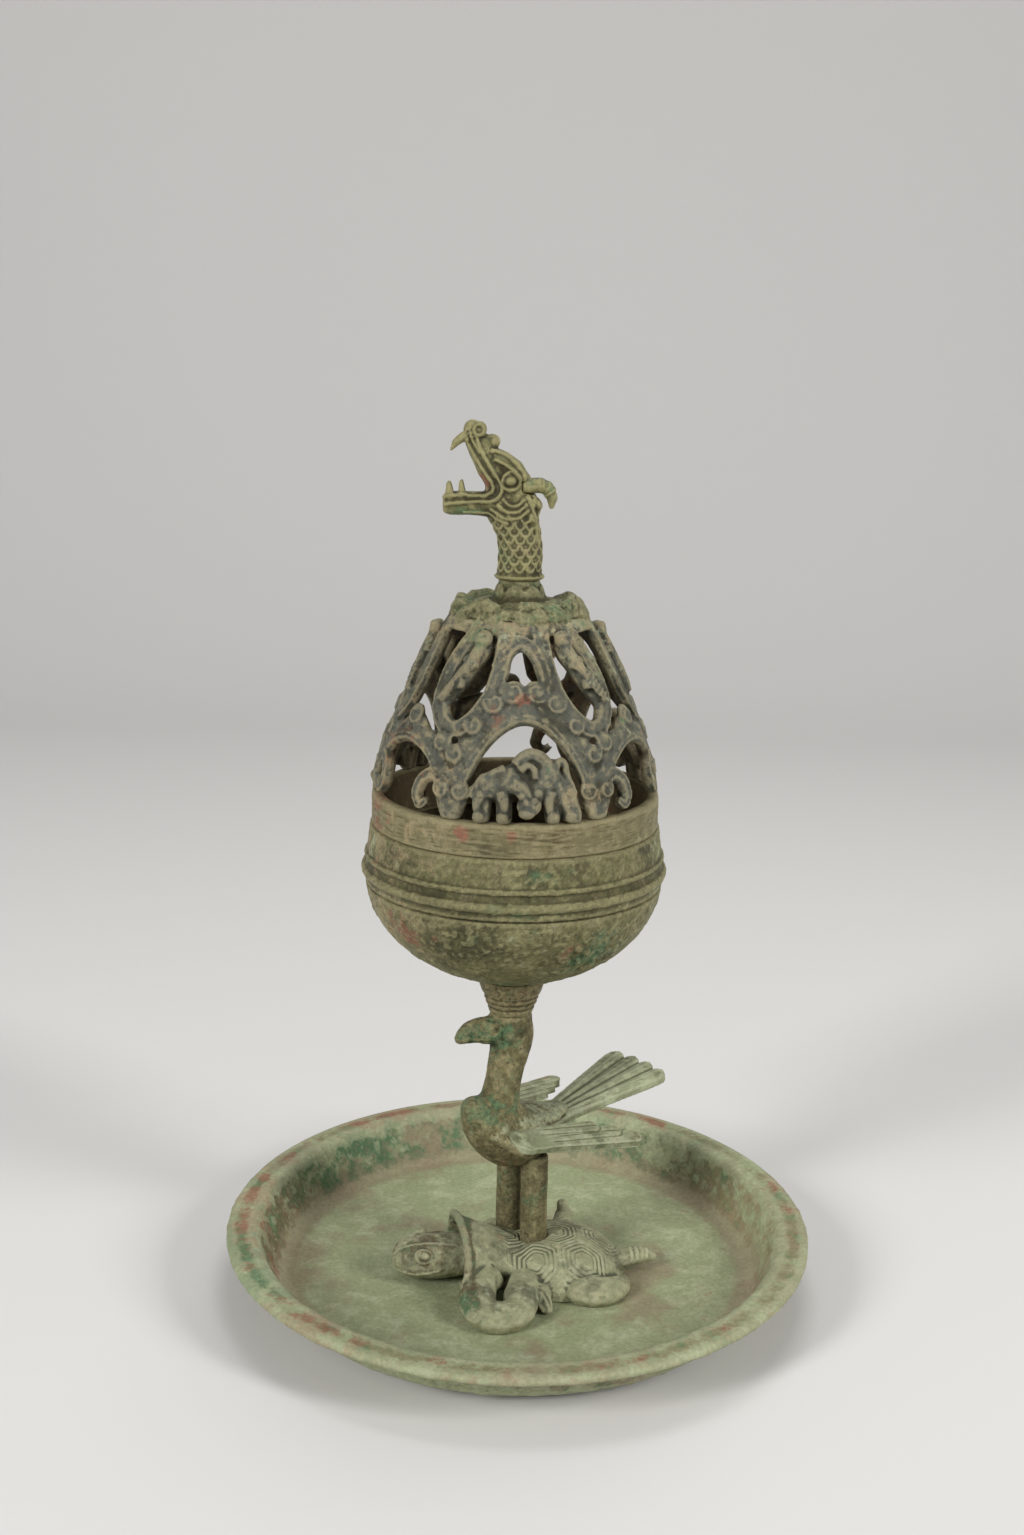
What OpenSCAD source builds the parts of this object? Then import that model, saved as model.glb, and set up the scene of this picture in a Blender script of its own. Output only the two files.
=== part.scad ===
// Bronze hill censer: tray, tortoise, bird stem, bowl, pierced hill lid and dragon finial.
// Millimetres, +Z up. The origin is on the table, in the middle of the tray.

/* [Tray] */
// Diameter over the flat rim
tray_d = 200; // [180:1:240]
// Height from the table to the top of the rim
tray_h = 20; // [16:0.5:28]
// Width of the flat rim
tray_rim_w = 10; // [6:0.5:14]
// Thickness of the rim
tray_rim_t = 3; // [2:0.1:5]
// Diameter of the flat floor inside
tray_floor_d = 164; // [140:1:168]
// Diameter of the foot that stands on the table
tray_foot_d = 150; // [140:1:156]
// Width of the foot's standing face
tray_foot_w = 12; // [6:0.5:18]
// Thickness of the floor and the wall
tray_wall = 2.2; // [1.6:0.1:3.5]
// Height of the hollow under the floor
tray_hollow_h = 1; // [0.8:0.1:2]

/* [Tortoise] */
// Length of the shell
shell_l = 47; // [42:0.5:54]
// Width of the shell
shell_w = 45; // [40:0.5:52]
// Height of the shell above the tray floor
shell_h = 13.5; // [12:0.5:17]
// Place of the shell's middle, to the right of the tray's middle
shell_x = 13; // [8:0.5:16]
// Place of the shell's middle, behind the tray's middle
shell_y = -6; // [-9:0.5:-3]
// Turn of the tortoise about the upright
tortoise_turn = 6; // [0:1:12]
// Height of the flared collar behind the head
hood_h = 21; // [18:0.5:25]
// Length of the head in front of its seat
head_l = 30; // [24:0.5:34]
// Width of the head
head_w = 19; // [16:0.5:22]

/* [Bird] */
// Height of the belly above the tray floor
belly_h = 38.4; // [34:0.2:46]
// Height of the neck and head above the belly
neck_h = 54; // [48:0.5:64]
// Width of the body
body_w = 22; // [20:0.5:26]
// Turn of the body about the upright
bird_turn = 40; // [30:1:50]
// Place of the body's middle, to the right of the tray's middle
bird_x = -1.3; // [-3:0.1:1]
// Place of the body's middle, behind the tray's middle
bird_y = -3.3; // [-5:0.1:-1]
// Diameter of a leg
leg_d = 9; // [7:0.2:10]
// Distance between the legs' middles
leg_gap = 13.2; // [12:0.2:15]
// Depth of a leg's seat in the shell
leg_sink = 7; // [5:0.5:9]
// Diameter of the tenons under the legs
tenon_d = 4.8; // [3.6:0.2:6]
// Reach of a wing behind the body's middle
wing_reach = 36; // [30:0.5:42]
// Thickness of a wing
wing_t = 3; // [2.4:0.1:3.6]
// Length of the tail feathers
tail_l = 41; // [32:0.5:46]
// Thickness of the tail
tail_t = 3; // [2.4:0.1:3.4]
// Width of one tail feather
feather_w = 8; // [7:0.2:9]

/* [Stem collar] */
// Height of the collar on the bird's head
collar_h = 12.6; // [10:0.2:18]
// Diameter at its foot
collar_low_d = 14.4; // [13:0.2:16]
// Diameter under the bowl
collar_top_d = 23.4; // [20:0.2:28]
// Diameter of the rivet through the bowl
rivet_d = 6; // [4:0.2:7]

/* [Bowl] */
// Place of the bowl's axis, to the right of the tray's middle
stem_x = -3.6; // [-5:0.1:-2]
// Diameter at the belly of the bowl
bowl_d = 97.6; // [94:0.2:110]
// Depth of the rounded part below the belly
bowl_round_h = 36.6; // [32:0.2:44]
// Height of the wall between the belly and the mouth
bowl_wall_h = 17; // [14:0.2:24]
// Thickness of the bowl
bowl_t = 2.4; // [2:0.1:3.2]

/* [Lid] */
// Diameter of the plain band
band_d = 93.6; // [91:0.2:94.4]
// Ledge of the bowl's mouth outside the band
mouth_ledge = 0.5; // [0.2:0.1:1.5]
// Height of the plain band
band_h = 11; // [8:0.5:14]
// Thickness of the band
band_t = 2.4; // [2:0.1:3]
// Depth of the lip inside the bowl
lip_h = 5; // [3:0.5:8]
// Height of the pierced hill
hill_h = 57.5; // [54:0.5:66]
// Diameter of the hill at its top
hill_top_d = 43; // [40:0.5:46]
// Thickness of the pierced work
hill_t = 3.6; // [3:0.1:4.4]
// Rise of the three tall arches, at the middle of the ribbon
tall_rise = 31; // [28:0.5:34]
// Rise of the three short arches, at the middle of the ribbon
short_rise = 22.5; // [20:0.5:25]
// Width of the ribbons in the upper tier
ribbon_w = 6.2; // [5:0.1:7]

/* [Finial] */
// Height of the cloud boss and its column
crown_h = 11; // [9:0.5:14]
// Diameter of the column under the dragon
column_d = 13; // [12:0.2:14]
// Diameter of the peg inside the dragon's neck
peg_d = 8.4; // [7:0.2:9]
// Height of the peg
peg_h = 13; // [9:0.5:15]
// Diameter of the dragon's neck
neck_d = 13.6; // [13:0.2:15]

/* [Fits] */
// Gap around pieces that are set into one another
fit_gap = 0.25; // [0.15:0.05:0.4]
// Gap around the lid's lip
lid_gap = 0.5; // [0.3:0.05:0.8]
// Gap around the finial's peg
peg_gap = 0.3; // [0.2:0.05:0.5]

/* [Hidden] */

// Heights, worked out from the table upwards
floor_z = tray_hollow_h + tray_wall;
leg_seat_z = floor_z + shell_h - leg_sink;
belly_z = floor_z + belly_h;
head_top_z = belly_z + neck_h;
bowl_z = head_top_z + collar_h;
bowl_belly_z = bowl_z + bowl_round_h;
mouth_z = bowl_belly_z + bowl_wall_h;
hill_z = mouth_z + band_h;
crown_z = hill_z + hill_h;
dragon_z = crown_z + crown_h;

// Bird: places in its own frame, where +X is toward the tail and the near side is -Y
leg_s = body_w * 0.15;
leg_hold = leg_d * 0.49;
body_rise = body_w * 0.48;
wing_root = body_w * 0.22;
wing_rear_root = body_w * 0.34;
wing_z = belly_z + body_w * 0.745;
wing_pitch = 6;
near_wing_roll = 20;
far_wing_roll = 4;
wing_front = -body_w * 0.55;
wing_back = body_w * 0.27;
tail_s = body_w * 0.773;
tail_z = belly_z + body_w * 0.51;
tail_pitch = 9.5;
tail_turn = 2;
tail_tab = [body_w * 0.41, body_w * 0.6];
far_out = 60;

// Stem and bowl
mouth_d = band_d + 2 * mouth_ledge;
spigot_d = 8;
spigot_h = 5;
rivet_hold = 8;
rivet_head_d = 12;
rivet_head_h = 2;
bowl_boss_h = 0.6;
bowl_floor_rise = 3.4;
// Beads: share of the wall's height and diameter; cut line: distance below the belly and width
upper_bead = [0.41, 2];
lower_bead = [0.12, 3.2];
cut_line = [2.4, 0.8];

// Lid: sides of one third of the pattern
arch_half = 30;
loop_from_tall = 32;
third = 120;
front_turn = 4;
arch_in = 3.3;
arch_out = 3.6;
lobe_h = 2.8;
ring_h = 4;
crown_wall = 5;
crown_lobes = 7;

// Colours of the patina
olive = [0.36, 0.37, 0.27];
pale = [0.47, 0.48, 0.38];
slate = [0.31, 0.33, 0.31];
russet = [0.42, 0.33, 0.25];

// Vectors and smooth rows
function unit(v) = v / norm(v);
function mean(rows) = [for (r = rows) 1] * rows / len(rows);
function place(r) = [r[0], r[1], r[2]];
function between(a, b, c, d, t) =
    (2 * b + (c - a) * t + (2 * a - 5 * b + 4 * c - d) * t * t + (3 * b - a - 3 * c + d) * t * t * t) / 2;
function smooth(rows, steps) = let (last = len(rows) - 1) concat(
    [for (i = [0:last - 1]) for (k = [0:steps - 1])
        between(rows[max(i - 1, 0)], rows[i], rows[i + 1], rows[min(i + 2, last)], k / steps)],
    [rows[last]]);
function along(points, i) = unit(points[min(i + 1, len(points) - 1)] - points[max(i - 1, 0)]);

// Oval rings square to a path; a row holds x, y, z, half width and half height
function oval_rings(rows, up, sides) = let (points = [for (r = rows) place(r)])
    [for (i = [0:len(rows) - 1]) let (t = along(points, i), s = unit(cross(t, up)), n = cross(s, t))
        [for (j = [0:sides - 1]) let (a = 360 * j / sides)
            points[i] + s * rows[i][3] * cos(a) + n * rows[i][4] * sin(a)]];

// Closed skin over rings of equal counts
module skin(rings) {
    n = len(rings[0]);
    m = len(rings);
    walls = [for (i = [0:m - 2]) for (j = [0:n - 1]) let (a = i * n + j, b = i * n + (j + 1) % n)
        each [[a, b, b + n], [a, b + n, a + n]]];
    ends = [for (j = [0:n - 1]) let (k = (j + 1) % n)
        each [[m * n, k, j], [m * n + 1, (m - 1) * n + j, (m - 1) * n + k]]];
    points = concat([for (r = rings) each r], [mean(rings[0]), mean(rings[m - 1])]);
    polyhedron(points, concat(walls, ends), convexity = 8);
}

// Rounded limb through a few rows
module limb(rows, up = [0, 0, 1], sides = 8, steps = 2) {
    skin(oval_rings(smooth(rows, steps), up, sides));
}

// Small rounded knob
module knob(at, size, sides = 8) {
    rows = [for (a = [-75:37.5:75])
        [at[0], at[1], at[2] + size[2] * sin(a), size[0] * cos(a), size[1] * cos(a)]];
    skin(oval_rings(rows, [0, 1, 0], sides));
}

// Everything inside is one casting with a single skin
module casting() {
    resize([0, 0, 0]) union() children();
}

// Frames
module at_shell() {
    translate([shell_x, shell_y, 0]) rotate(tortoise_turn) children();
}

module at_bird() {
    translate([bird_x, bird_y, 0]) rotate(bird_turn) children();
}

module at_stem(z) {
    translate([stem_x, 0, z]) children();
}

module at_legs(sides = [-1, 1]) {
    for (side = sides)
        at_bird() translate([leg_s, side * leg_gap / 2, 0]) children();
}

module at_wing(side) {
    roll = side > 0 ? far_wing_roll : near_wing_roll;
    at_bird() scale_side(side) translate([0, 0, wing_z]) rotate([-roll, wing_pitch, 0]) children();
}

module scale_side(side) {
    if (side > 0) children();
    else mirror([0, 1, 0]) children();
}

module at_tail() {
    at_bird() translate([tail_s, 0, tail_z]) rotate([0, -tail_pitch, tail_turn]) children();
}

// Tray
module tray() {
    r = tray_d / 2;
    rim_r = r - tray_rim_w;
    foot_r = tray_foot_d / 2;
    inner_r = foot_r - tray_foot_w;
    floor_r = tray_floor_d / 2;
    color(olive) difference() {
        rotate_extrude($fn = 180) polygon([
            [0, floor_z], [floor_r - tray_wall, floor_z], [floor_r, floor_z + tray_wall / 2],
            [rim_r - tray_wall / 2, tray_h - tray_wall / 3], [rim_r, tray_h], [r - tray_rim_t / 4, tray_h],
            [r, tray_h - tray_rim_t / 4], [r, tray_h - tray_rim_t * 3 / 4],
            [r - tray_rim_t / 4, tray_h - tray_rim_t],
            [rim_r + tray_wall, tray_h - tray_rim_t], [floor_r + tray_wall, floor_z + tray_wall / 2],
            [foot_r + tray_wall, tray_hollow_h], [foot_r, 0], [inner_r, 0],
            [inner_r - tray_hollow_h, tray_hollow_h], [0, tray_hollow_h]]);
        at_legs() cylinder(d = tenon_d + 2 * fit_gap, h = 2 * floor_z, $fn = 32);
    }
}

// Peened ends of the leg tenons, up against the underside of the floor
module leg_rivets() {
    head_h = tray_hollow_h * 0.8;
    color(russet) at_legs() translate([0, 0, tray_hollow_h - head_h]) difference() {
        cylinder(d = tenon_d * 2, h = head_h, $fn = 40);
        translate([0, 0, -head_h]) cylinder(d = tenon_d + 2 * fit_gap, h = 3 * head_h, $fn = 32);
    }
}

// Tortoise: the collar flares toward the head, whose seat is flat
hood_x = -shell_l * 0.72;
head_seat_x = -shell_l * 0.55;
head_z = floor_z + head_w * 0.42;
head_y = -2;
head_tenon_d = head_w * 0.37;
head_tenon_l = head_w * 0.37;
// Shell length that the feet are drawn for
feet_shell_l = 47;

module shell_dome() {
    top_a = 75;
    rings = [for (a = [0:15:top_a]) let (
        r = (a == 0 ? 1.03 : 1) * pow(cos(a), 0.85),
        z = floor_z - 1 + (shell_h + 1) * pow(sin(a) / sin(top_a), 0.9))
        [for (b = [0:-15:-345]) [r * shell_l / 2 * cos(b), r * shell_w / 2 * sin(b), z]]];
    skin(rings);
}

module hood() {
    top = hood_h / 2;
    mid_z = floor_z + top - 2;
    limb([[-shell_l * 0.2, 0, floor_z + 5, 15, 6], [-shell_l * 0.42, 0, floor_z + 7, 13, 7.5],
        [-shell_l * 0.58, head_y / 2, mid_z - 0.4, 15, top - 1], [hood_x, head_y, mid_z + 0.4, 18, top + 1]],
        sides = 16);
}

module hood_mouth() {
    top = hood_h / 2;
    mid_z = floor_z + top - 2;
    limb([[head_seat_x, head_y, mid_z, 12, top - 2.4], [-shell_l * 0.64, head_y, mid_z, 13.6, top - 1.8],
        [hood_x - 4, head_y, mid_z + 0.5, 16.8, top - 1.1]], sides = 16, steps = 1);
}

module tortoise_feet() {
    translate([0, 0, floor_z]) scale(shell_l / feet_shell_l) {
        // Near forefoot, bent round in front of the shell
        limb([[-24, -14, 6, 5.6, 5], [-28.6, -25, 5, 6.4, 5],
            [-27.6, -33.6, 4, 6.4, 5], [-22, -36.6, 4, 6.2, 5],
            [-16.4, -33.6, 4, 6.2, 5], [-14.4, -26, 5, 6, 5], [-12, -16, 6, 5, 4.6]]);
        // Claw beside it
        limb([[-8, -20, 4, 4, 3], [-7, -26, 2.6, 3.2, 2.4],
            [-5.5, -30.5, 1, 0.8, 0.8]]);
        // Near hind foot
        limb([[4, -14, 3, 5, 4], [8, -19, 3, 8, 4.6], [14, -20, 2.6, 7, 4],
            [20, -16, 2, 4.5, 3], [22, -12, 2, 2, 2]], sides = 10);
        // Far hind foot, lifted
        limb([[2, 14, 4, 5, 4], [6, 23, 5, 4, 4], [6.5, 27, 8, 3, 3],
            [5.5, 26, 12, 1.6, 1.6]]);
        // Far forefoot
        limb([[-10, 12, 4, 5, 4], [-17, 23, 3.6, 5.5, 4], [-21, 29, 2, 2.5, 2]]);
        // Tail
        limb([[17, -3, 4, 5, 4], [25, -2.5, 5, 4, 3], [31, -2, 5.2, 3, 2.4],
            [35.5, -1.6, 4, 1, 1]]);
    }
}

module tortoise_body() {
    color(pale) difference() {
        at_shell() casting() difference() {
            union() {
                shell_dome();
                hood();
                tortoise_feet();
            }
            hood_mouth();
            translate([-far_out, -far_out, floor_z - far_out]) cube([2 * far_out, 2 * far_out, far_out]);
        }
        at_shell() translate([head_seat_x - 1, head_y, head_z]) rotate([0, 90, 0])
            cylinder(d = head_tenon_d + 2 * fit_gap, h = head_tenon_l + fit_gap + 1, $fn = 32);
        at_legs() translate([0, 0, leg_seat_z]) cylinder(d = leg_d + 2 * fit_gap, h = far_out, $fn = 48);
        at_legs() cylinder(d = tenon_d + 2 * fit_gap, h = far_out, $fn = 32);
    }
}

module tortoise_head() {
    half = head_w / 2;
    low = head_w * 0.38;
    color(pale) at_shell() translate([head_seat_x, head_y, head_z]) union() {
        casting() {
            limb([[0, 0, 0, half * 0.82, low * 0.86], [-head_l * 0.22, 0, 0, half * 0.86, low * 0.88],
                [-head_l * 0.5, 0, 0, half, low], [-head_l * 0.75, 0, 0, half * 0.94, low * 0.92],
                [-head_l * 0.92, 0, -0.6, half * 0.62, low * 0.66],
                [-head_l, 0, -1, half * 0.12, low * 0.16]], sides = 16);
            for (side = [-1, 1])
                knob([-head_l * 0.68, side * half * 0.76, low * 0.5], [2.4, 2, 2.2]);
        }
        rotate([0, 90, 0]) translate([0, 0, -2]) cylinder(d = head_tenon_d, h = head_tenon_l + 2, $fn = 32);
    }
}

// Bird legs: columns with a tenon through the shell and the tray
module bird_leg(side) {
    rivet_end = tray_hollow_h * 0.2;
    color(russet) at_legs([side]) union() {
        translate([0, 0, leg_seat_z]) cylinder(d = leg_d, h = belly_z + leg_hold - leg_seat_z, $fn = 48);
        translate([0, 0, rivet_end])
            cylinder(d = tenon_d, h = leg_seat_z - rivet_end + leg_d / 2, $fn = 32);
    }
}

module bird_near_leg() bird_leg(-1);
module bird_far_leg() bird_leg(1);

// Bird body: breast and rump, then the neck up to the stem's axis
module bird_trunk() {
    half = body_w / 2;
    // Place along the body, rise of the middle, half width and half height, in shares
    shares = [[-0.97, 0.78, 0.05, 0.05], [-0.93, 0.74, 0.36, 0.32], [-0.78, 0.58, 0.62, 0.6],
        [-0.53, 0.31, 0.87, 0.88], [-0.2, 0.08, 1, 1.06], [0.09, 0, 1, 1], [0.41, 0.036, 0.86, 0.8],
        [0.68, 0.086, 0.68, 0.54], [0.91, 0.127, 0.55, 0.36], [1.045, 0.145, 0.4, 0.24]];
    rows = [for (k = shares) [body_w * k[0], 0, body_w * k[1], half * k[2], body_rise * k[3]]];
    at_bird() translate([0, 0, belly_z + body_rise]) skin(oval_rings(smooth(rows, 2), [0, 0, 1], 14));
}

module bird_neck() {
    r = collar_low_d / 2;
    foot = [bird_x, bird_y] - body_w * 0.364 * [cos(bird_turn), sin(bird_turn)];
    top = [stem_x, 0];
    // Share of the height, share of the way to the stem, half width and half depth
    shares = [[0.24, 0.06, 1.2, 1.2], [0.36, 0.04, 1.12, 1.14], [0.45, 0.12, 0.96, 1],
        [0.55, 0.36, 0.86, 0.9], [0.66, 0.66, 0.87, 0.88], [0.77, 1.02, 0.98, 0.94],
        [0.86, 1.06, 1.06, 1.02], [0.94, 1, 1, 1], [1, 1, 1, 1]];
    rows = [for (k = shares) let (xy = foot + (top - foot) * k[1])
        [xy[0], xy[1], belly_z + neck_h * k[0], r * k[2], r * k[3]]];
    skin(oval_rings(smooth(rows, 2), [0, 1, 0], 14));
}

module bird_beak() {
    beak_turn = 20;
    at_stem(belly_z + neck_h * 0.87) rotate(beak_turn)
        limb([[0, 0, 0.4, 5, 5.4], [-8, 0, 0.8, 4.4, 4.9], [-13, 0, 1, 3.6, 4.2], [-17, 0, -0.2, 2.6, 3],
            [-19.6, 0, -1.8, 1, 1.1]], sides = 10);
    for (side = [-1, 1])
        at_stem(belly_z + neck_h * 0.88) rotate(beak_turn) knob([-2.5, side * 6.6, 0], [1.9, 1.6, 1.9], 7);
}

module wing_slot(side) {
    at_wing(side) translate([0, 0, -fit_gap]) {
        translate([wing_front - fit_gap, wing_root - fit_gap])
            cube([wing_back - wing_front + 2 * fit_gap, far_out, wing_t + 2 * fit_gap]);
        translate([0, wing_rear_root - fit_gap]) cube([far_out, far_out, wing_t + 2 * fit_gap]);
    }
}

module tail_slot() {
    at_tail() translate([-tail_tab[0] - fit_gap, -tail_tab[1] / 2 - fit_gap, -fit_gap])
        cube([far_out, tail_tab[1] + 2 * fit_gap, tail_t + 2 * fit_gap]);
}

module bird_body() {
    color(olive) difference() {
        casting() {
            bird_trunk();
            bird_neck();
            bird_beak();
        }
        at_stem(head_top_z) cylinder(d = 4 * collar_low_d, h = far_out, $fn = 48);
        at_stem(head_top_z - spigot_h - fit_gap)
            cylinder(d = spigot_d + 2 * fit_gap, h = far_out, $fn = 32);
        at_legs() cylinder(d = leg_d + 2 * fit_gap, h = belly_z + leg_hold, $fn = 48);
        wing_slot(1);
        wing_slot(-1);
        tail_slot();
    }
}

// Feather: straight sides with a round end
module feather(from, to, w) {
    d = to - from;
    translate(from) rotate(atan2(d[1], d[0])) {
        translate([0, -w / 2]) square([norm(d), w]);
        translate([norm(d), 0]) circle(d = w, $fn = 32);
    }
}

// Reach that the wing's feathers are drawn for
drawn_reach = 36;

module wing(side) {
    k = wing_reach / drawn_reach;
    color(pale) at_wing(side) linear_extrude(wing_t) {
        translate([wing_front + 3, wing_root]) square([wing_back - wing_front - 3, body_w * 0.34]);
        translate([-body_w / 4, body_w * 0.54]) circle(d = body_w * 0.59, $fn = 40);
        feather([-4 * k, 15 * k], [wing_reach, 22 * k], 6.6 * k);
        feather([-2 * k, 12.8 * k], [wing_reach * 0.83, 17.4 * k], 6.4 * k);
        feather([2 * k, 11 * k], [wing_reach * 0.64, 13.4 * k], 6.4 * k);
    }
}

module bird_near_wing() wing(-1);
module bird_far_wing() wing(1);

module bird_tail() {
    spread = 7;
    back = 14;
    color(pale) at_tail() linear_extrude(tail_t) {
        translate([-tail_tab[0], -tail_tab[1] / 2]) square([tail_tab[0] + 6, tail_tab[1]]);
        translate([-back, 0]) for (k = [-1.5:1:1.5]) rotate(k * spread) {
            polygon([[back, -feather_w / 3], [back + tail_l, -feather_w / 2],
                [back + tail_l, feather_w / 2], [back, feather_w / 3]]);
            translate([back + tail_l, 0]) circle(d = feather_w, $fn = 32);
        }
    }
}

// Collar: flares up to the bowl, with a spigot in the bird's head
module stem_collar() {
    low = collar_low_d / 2;
    flare = (collar_top_d - collar_low_d) / 2;
    color(russet) at_stem(head_top_z) difference() {
        rotate_extrude($fn = 64) polygon(concat(
            [[0, -spigot_h], [spigot_d / 2, -spigot_h], [spigot_d / 2, 0]],
            [for (k = [0:0.125:1]) [low + flare * pow(k, 0.9), collar_h * k]], [[0, collar_h]]));
        translate([0, 0, collar_h - rivet_hold - fit_gap])
            cylinder(d = rivet_d + 2 * fit_gap, h = rivet_hold + 1, $fn = 32);
    }
}

// Bowl: half an oval below the belly, a wall that leans in to the mouth, two beads and a cut line
module bowl() {
    r = bowl_d / 2;
    mouth_r = mouth_d / 2;
    floor_h = bowl_floor_rise;
    depth = bowl_round_h - floor_h + 0.6;
    floor_a = asin((bowl_round_h - floor_h) / depth);
    // A place on the outside of the wall, as a share of its height
    function on_wall(k) = [r + (mouth_r - r) * k, bowl_round_h + bowl_wall_h * k];
    color(olive) at_stem(bowl_z) difference() {
        union() {
            rotate_extrude($fn = 120) {
                polygon(concat([[0, 0]],
                    [for (a = [84:-6:0]) [r * cos(a), bowl_round_h * (1 - sin(a)) + bowl_boss_h * sin(a)]],
                    [on_wall(1), on_wall(1) - [bowl_t, 0]],
                    [for (a = [0:6:floor_a]) [(r - bowl_t) * cos(a), bowl_round_h - depth * sin(a)]],
                    [[(r - bowl_t) * cos(floor_a), floor_h], [0, floor_h]]));
                translate(on_wall(upper_bead[0])) circle(d = upper_bead[1], $fn = 24);
                translate(on_wall(lower_bead[0])) circle(d = lower_bead[1], $fn = 24);
            }
            cylinder(d = collar_top_d + 1, h = bowl_floor_rise, $fn = 64);
        }
        translate([0, 0, -1]) cylinder(d = rivet_d + 2 * fit_gap, h = bowl_floor_rise + 2, $fn = 32);
        rotate_extrude($fn = 120) translate([r, bowl_round_h - cut_line[0]])
            square([2, cut_line[1]], center = true);
    }
}

module bowl_rivet() {
    r = rivet_head_d / 2;
    color(russet) at_stem(bowl_z) rotate_extrude($fn = 48) polygon(concat(
        [[0, -rivet_hold], [rivet_d / 2, -rivet_hold], [rivet_d / 2, bowl_floor_rise],
        [r, bowl_floor_rise]],
        [for (a = [15:15:75]) [r * cos(a), bowl_floor_rise + rivet_head_h * sin(a)]],
        [[0, bowl_floor_rise + rivet_head_h]]));
}

// Lid band: rests on the bowl's mouth, with a lip inside it
module lid_band() {
    r = band_d / 2;
    lip_r = mouth_d / 2 - bowl_t - lid_gap;
    color(olive) at_stem(mouth_z) rotate_extrude($fn = 180) polygon([
        [lip_r - band_t, -lip_h], [lip_r, -lip_h], [lip_r, 0], [r, 0], [r, band_h - 0.6], [r - 0.6, band_h],
        [r - band_t - 1, band_h], [lip_r - band_t, 0]]);
}

// Hill surface: radius of the outside at a height above the band, and the way it faces
hill_fall = (band_d - hill_top_d) / 2;
function hill_r(h) = let (k = h / hill_h) band_d / 2 - 0.2 - hill_fall * (0.4 * k + 0.6 * k * k);
function hill_lean(h) = hill_fall * (0.4 + 1.2 * h / hill_h) / hill_h;
function on_hill(a, h) = let (r = hill_r(h) - hill_t / 2) [r * sin(a), -r * cos(a), h];
function hill_out(a, h) = unit([sin(a), -cos(a), hill_lean(h)]);

// Ribbon on the hill; a row holds angle, height, half width inside the bend and half width outside it
function ribbon_rings(rows, t) = let (points = [for (r = rows) on_hill(r[0], r[1])])
    [for (i = [0:len(rows) - 1]) let (n = hill_out(rows[i][0], rows[i][1]),
        s = unit(cross(along(points, i), n)), wi = rows[i][2], wo = rows[i][3])
        [for (p = [[wi, 0.05], [wi * 0.6, 0.5], [-wo * 0.6, 0.5], [-wo, 0.05], [-wo * 0.7, -0.5],
            [wi * 0.7, -0.5]]) points[i] + s * p[0] + n * p[1] * t]];

module ribbon(rows, t = hill_t) {
    skin(ribbon_rings(rows, t));
}

// Arch with a scalloped cloud edge; lobes is odd, so that one stands on the crest
module cloud_arch(mid, rise, lobes, crest) {
    steps = lobes * 3;
    rows = [for (i = [0:steps]) let (a = 180 * i / steps, lobe = i % 3 == 0 ? 0 : 1)
        [mid - arch_half * cos(a), rise * sin(a), arch_in,
            arch_out + lobe_h * lobe + crest * pow(sin(a), 8)]];
    foot = [0, 3, 0, 0];
    ribbon(concat([rows[0] - foot], rows, [rows[steps] - foot]));
}

// Open loop of the upper tier, leaning over a short arch, with a rounded creature in it
module cloud_loop(mid, side) {
    w = ribbon_w / 2;
    path = [[-19, 1.02], [-19, 0.9], [-17.6, 0.76], [-14, 0.63], [-7, 0.515], [1, 0.45], [8.6, 0.47],
        [14.4, 0.56], [15.8, 0.69], [13, 0.82], [7, 0.92], [0, 1.02]];
    ribbon([for (p = path) [mid + side * p[0], hill_h * p[1], w, w]]);
    creature = [[-4.4, 0.915, 0.8], [-3.8, 0.89, 2.7], [-2.4, 0.84, 3.2], [1, 0.775, 2.4],
        [6.4, 0.69, 2.6], [13, 0.575, 1.8]];
    ribbon([for (c = creature) [mid + side * c[0], hill_h * c[1], c[2], c[2]]], hill_t + 1);
}

// Hooked arch between two loops
module hooked_arch() {
    w = ribbon_w / 2;
    path = [[-16, 0.76, 0.8], [-13, 0.825, 0.8], [-8, 0.872, 0.8], [-2, 0.89, 0.8], [4.6, 0.87, 0.78],
        [9.6, 0.805, 0.74], [12, 0.72, 0.7], [10.6, 0.66, 0.62], [7.4, 0.675, 0.44]];
    ribbon([for (p = path) [p[0], hill_h * p[1], w * p[2], w * p[2]]]);
}

// Scroll that curls in from one foot of a short arch
module band_scroll(mid, side) {
    path = [[29, 4, 2.6], [25.4, 10, 2.6], [20, 12.6, 2.6], [14.8, 10.4, 2.5], [12.8, 5.8, 2.3],
        [15.8, 2.4, 2], [19.4, 4.6, 1.4]];
    ribbon([for (p = path) [mid + side * p[0], p[1], p[2], p[2]]]);
}

module top_ring() {
    low = hill_h - ring_h;
    rotate_extrude($fn = 24) polygon([[hill_r(low) - hill_t, low], [hill_r(low), low],
        [hill_r(hill_h), hill_h + 1], [hill_r(hill_h) - hill_t, hill_h + 1]]);
}

module lid_openwork() {
    color(slate) at_stem(hill_z) casting() intersection() {
        cylinder(d = 2 * band_d, h = hill_h, $fn = 24);
        union() {
            for (k = [0:2]) rotate(front_turn + k * third) {
                cloud_arch(0, tall_rise, 7, 2.4);
                cloud_arch(third / 2, short_rise, 5, 1);
                cloud_loop(loop_from_tall, 1);
                cloud_loop(-loop_from_tall, -1);
                hooked_arch();
                for (side = [-1, 1]) band_scroll(third / 2, side);
            }
            top_ring();
        }
    }
}

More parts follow.
